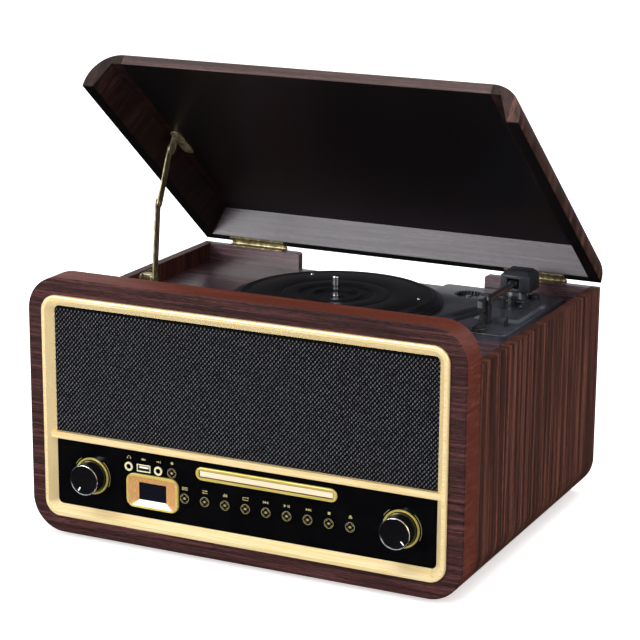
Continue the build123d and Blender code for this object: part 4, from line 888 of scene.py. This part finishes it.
class RECORD_PLAYER_OT_works(bpy.types.Operator):
    """Finish the motor, belt, disc drive, speakers and boards inside the case"""
    bl_idname = "record_player.works"
    bl_label = "Works"

    def execute(self, context):
        dress("steel", "speaker_left", "speaker_right", "motor", "motor_pulley")
        dress("rubber", "belt")
        dress("drive_grey", "disc_drive")
        dress("solder_mask", "circuit_boards")
        return {"FINISHED"}


def area_light(name, place, aim, size, power, colour="#ffffff"):
    """A soft rectangular light that faces a point."""
    data = bpy.data.lights.new(name, "AREA")
    data.shape = "RECTANGLE"
    data.size, data.size_y = size
    data.energy = power
    data.color = linear(colour)[:3]
    lamp = bpy.data.objects.new(name, data)
    lamp.location = place
    lamp.rotation_euler = (Vector(aim) - Vector(place)).to_track_quat("-Z", "Y").to_euler()
    bpy.context.scene.collection.objects.link(lamp)


class RECORD_PLAYER_OT_stage(bpy.types.Operator):
    """Lay the pale floor and set the soft lights and the camera"""
    bl_idname = "record_player.stage"
    bl_label = "Stage"

    def execute(self, context):
        settings = context.scene.record_player_stage
        scene = context.scene
        shape = bmesh.new()
        bmesh.ops.create_grid(shape, x_segments=8, y_segments=8, size=14.0)
        mesh = bpy.data.meshes.new("studio_floor")
        shape.to_mesh(mesh)
        shape.free()
        material, tree, shader = new_material("matt_white_paper", Roughness=0.9, Specular_IOR_Level=0.1,
                                              Emission_Color=linear("#ffffff"), Emission_Strength=0.45)
        paper = add_node(tree, "TexNoise", None, {"Vector": pattern_space(tree, (0.6, 0.6, 0.6)),
                                                  "Scale": 1.0})
        tree.links.new(ramp(tree, paper.outputs["Fac"], ((0.2, settings.floor_colour), (0.8, "#fafafa"))),
                       shader.inputs["Base Color"])
        mesh.materials.append(material)
        floor = bpy.data.objects.new("studio_floor", mesh)
        scene.collection.objects.link(floor)
        floor.visible_glossy = False

        world = bpy.data.worlds.new("studio_air")
        scene.world = world
        world.use_nodes = True
        sky = world.node_tree
        direction = add_node(sky, "TexCoord").outputs["Generated"]
        height = add_node(sky, "SeparateXYZ", None, {0: direction}).outputs["Z"]
        spread = add_node(sky, "MapRange", None, {"Value": height, "From Min": -0.15, "From Max": 0.35})
        colour = ramp(sky, spread.outputs["Result"], ((0.0, "#1a1a1c"), (0.45, "#8f8f94"), (1.0, "#f2f2f5")))
        sky.links.new(colour, sky.nodes["Background"].inputs["Color"])
        sky.nodes["Background"].inputs["Strength"].default_value = 0.9

        area_light("key_softbox", (-1.6, -2.6, 1.1), (0, 0, 0.2), (1.6, 1.2), settings.key_power)
        area_light("top_softbox", (0.2, 0.3, 2.6), (0, 0, 0.2), (2.4, 2.0), 55.0)
        area_light("right_softbox", (2.4, -0.6, 1.3), (0, 0, 0.15), (1.0, 1.2), 18.0, "#fff1e6")

        data = bpy.data.cameras.new("camera")
        data.lens = settings.lens
        data.sensor_width = 36.0
        data.clip_end = 60.0
        camera = bpy.data.objects.new("camera", data)
        turn, pitch, roll = radians(25.706), radians(14.925), radians(0.395)
        camera.location = (0.89198, -1.86368, 0.74289)
        forward = Vector((-sin(turn) * cos(pitch), cos(turn) * cos(pitch), -sin(pitch)))
        level = Vector((cos(turn), sin(turn), 0.0))
        upright = level.cross(forward)
        right = level * cos(roll) + upright * sin(roll)
        top = upright * cos(roll) - level * sin(roll)
        camera.rotation_euler = Matrix((right, top, -forward)).transposed().to_euler()
        scene.collection.objects.link(camera)
        scene.camera = camera
        scene.view_settings.view_transform = "Standard"
        return {"FINISHED"}


class RECORD_PLAYER_PT_builder(bpy.types.Panel):
    """Lists the record player's settings and pieces"""
    bl_label = "Record Player"
    bl_idname = "RECORD_PLAYER_PT_builder"
    bl_space_type = "VIEW_3D"
    bl_region_type = "UI"
    bl_category = "Record Player"

    def draw(self, context):
        scene = context.scene
        self.layout.prop(scene.record_player_cloth, "pitch")
        self.layout.prop(scene.record_player_cloth, "row")
        self.layout.prop(scene.record_player_deck, "mat_rings")
        self.layout.prop(scene.record_player_deck, "adapter_teeth")
        self.layout.prop(scene.record_player_stage, "lens")
        self.layout.prop(scene.record_player_stage, "key_power")
        self.layout.prop(scene.record_player_stage, "floor_colour")
        for operator in OPERATORS:
            self.layout.operator(operator.bl_idname)


SETTINGS = {"record_player_cloth": ClothSettings, "record_player_deck": DeckSettings,
            "record_player_stage": StageSettings}
OPERATORS = (RECORD_PLAYER_OT_case, RECORD_PLAYER_OT_lid, RECORD_PLAYER_OT_fittings,
             RECORD_PLAYER_OT_speaker_front, RECORD_PLAYER_OT_controls, RECORD_PLAYER_OT_knobs,
             RECORD_PLAYER_OT_buttons, RECORD_PLAYER_OT_symbols, RECORD_PLAYER_OT_platter,
             RECORD_PLAYER_OT_deck, RECORD_PLAYER_OT_tonearm, RECORD_PLAYER_OT_works,
             RECORD_PLAYER_OT_stage)


def register():
    for group in SETTINGS.values():
        bpy.utils.register_class(group)
    for operator in OPERATORS:
        bpy.utils.register_class(operator)
    bpy.utils.register_class(RECORD_PLAYER_PT_builder)
    for name, group in SETTINGS.items():
        setattr(bpy.types.Scene, name, bpy.props.PointerProperty(type=group))


def unregister():
    for name in SETTINGS:
        delattr(bpy.types.Scene, name)
    bpy.utils.unregister_class(RECORD_PLAYER_PT_builder)
    for made in (*OPERATORS, *SETTINGS.values()):
        bpy.utils.unregister_class(made)


def main():
    register()
    bpy.ops.record_player.case()
    bpy.ops.record_player.lid()
    bpy.ops.record_player.fittings()
    bpy.ops.record_player.speaker_front()
    bpy.ops.record_player.controls()
    bpy.ops.record_player.knobs()
    bpy.ops.record_player.buttons()
    bpy.ops.record_player.symbols()
    bpy.ops.record_player.platter()
    bpy.ops.record_player.deck()
    bpy.ops.record_player.tonearm()
    bpy.ops.record_player.works()
    bpy.ops.record_player.stage()


if __name__ == "__main__":
    main()
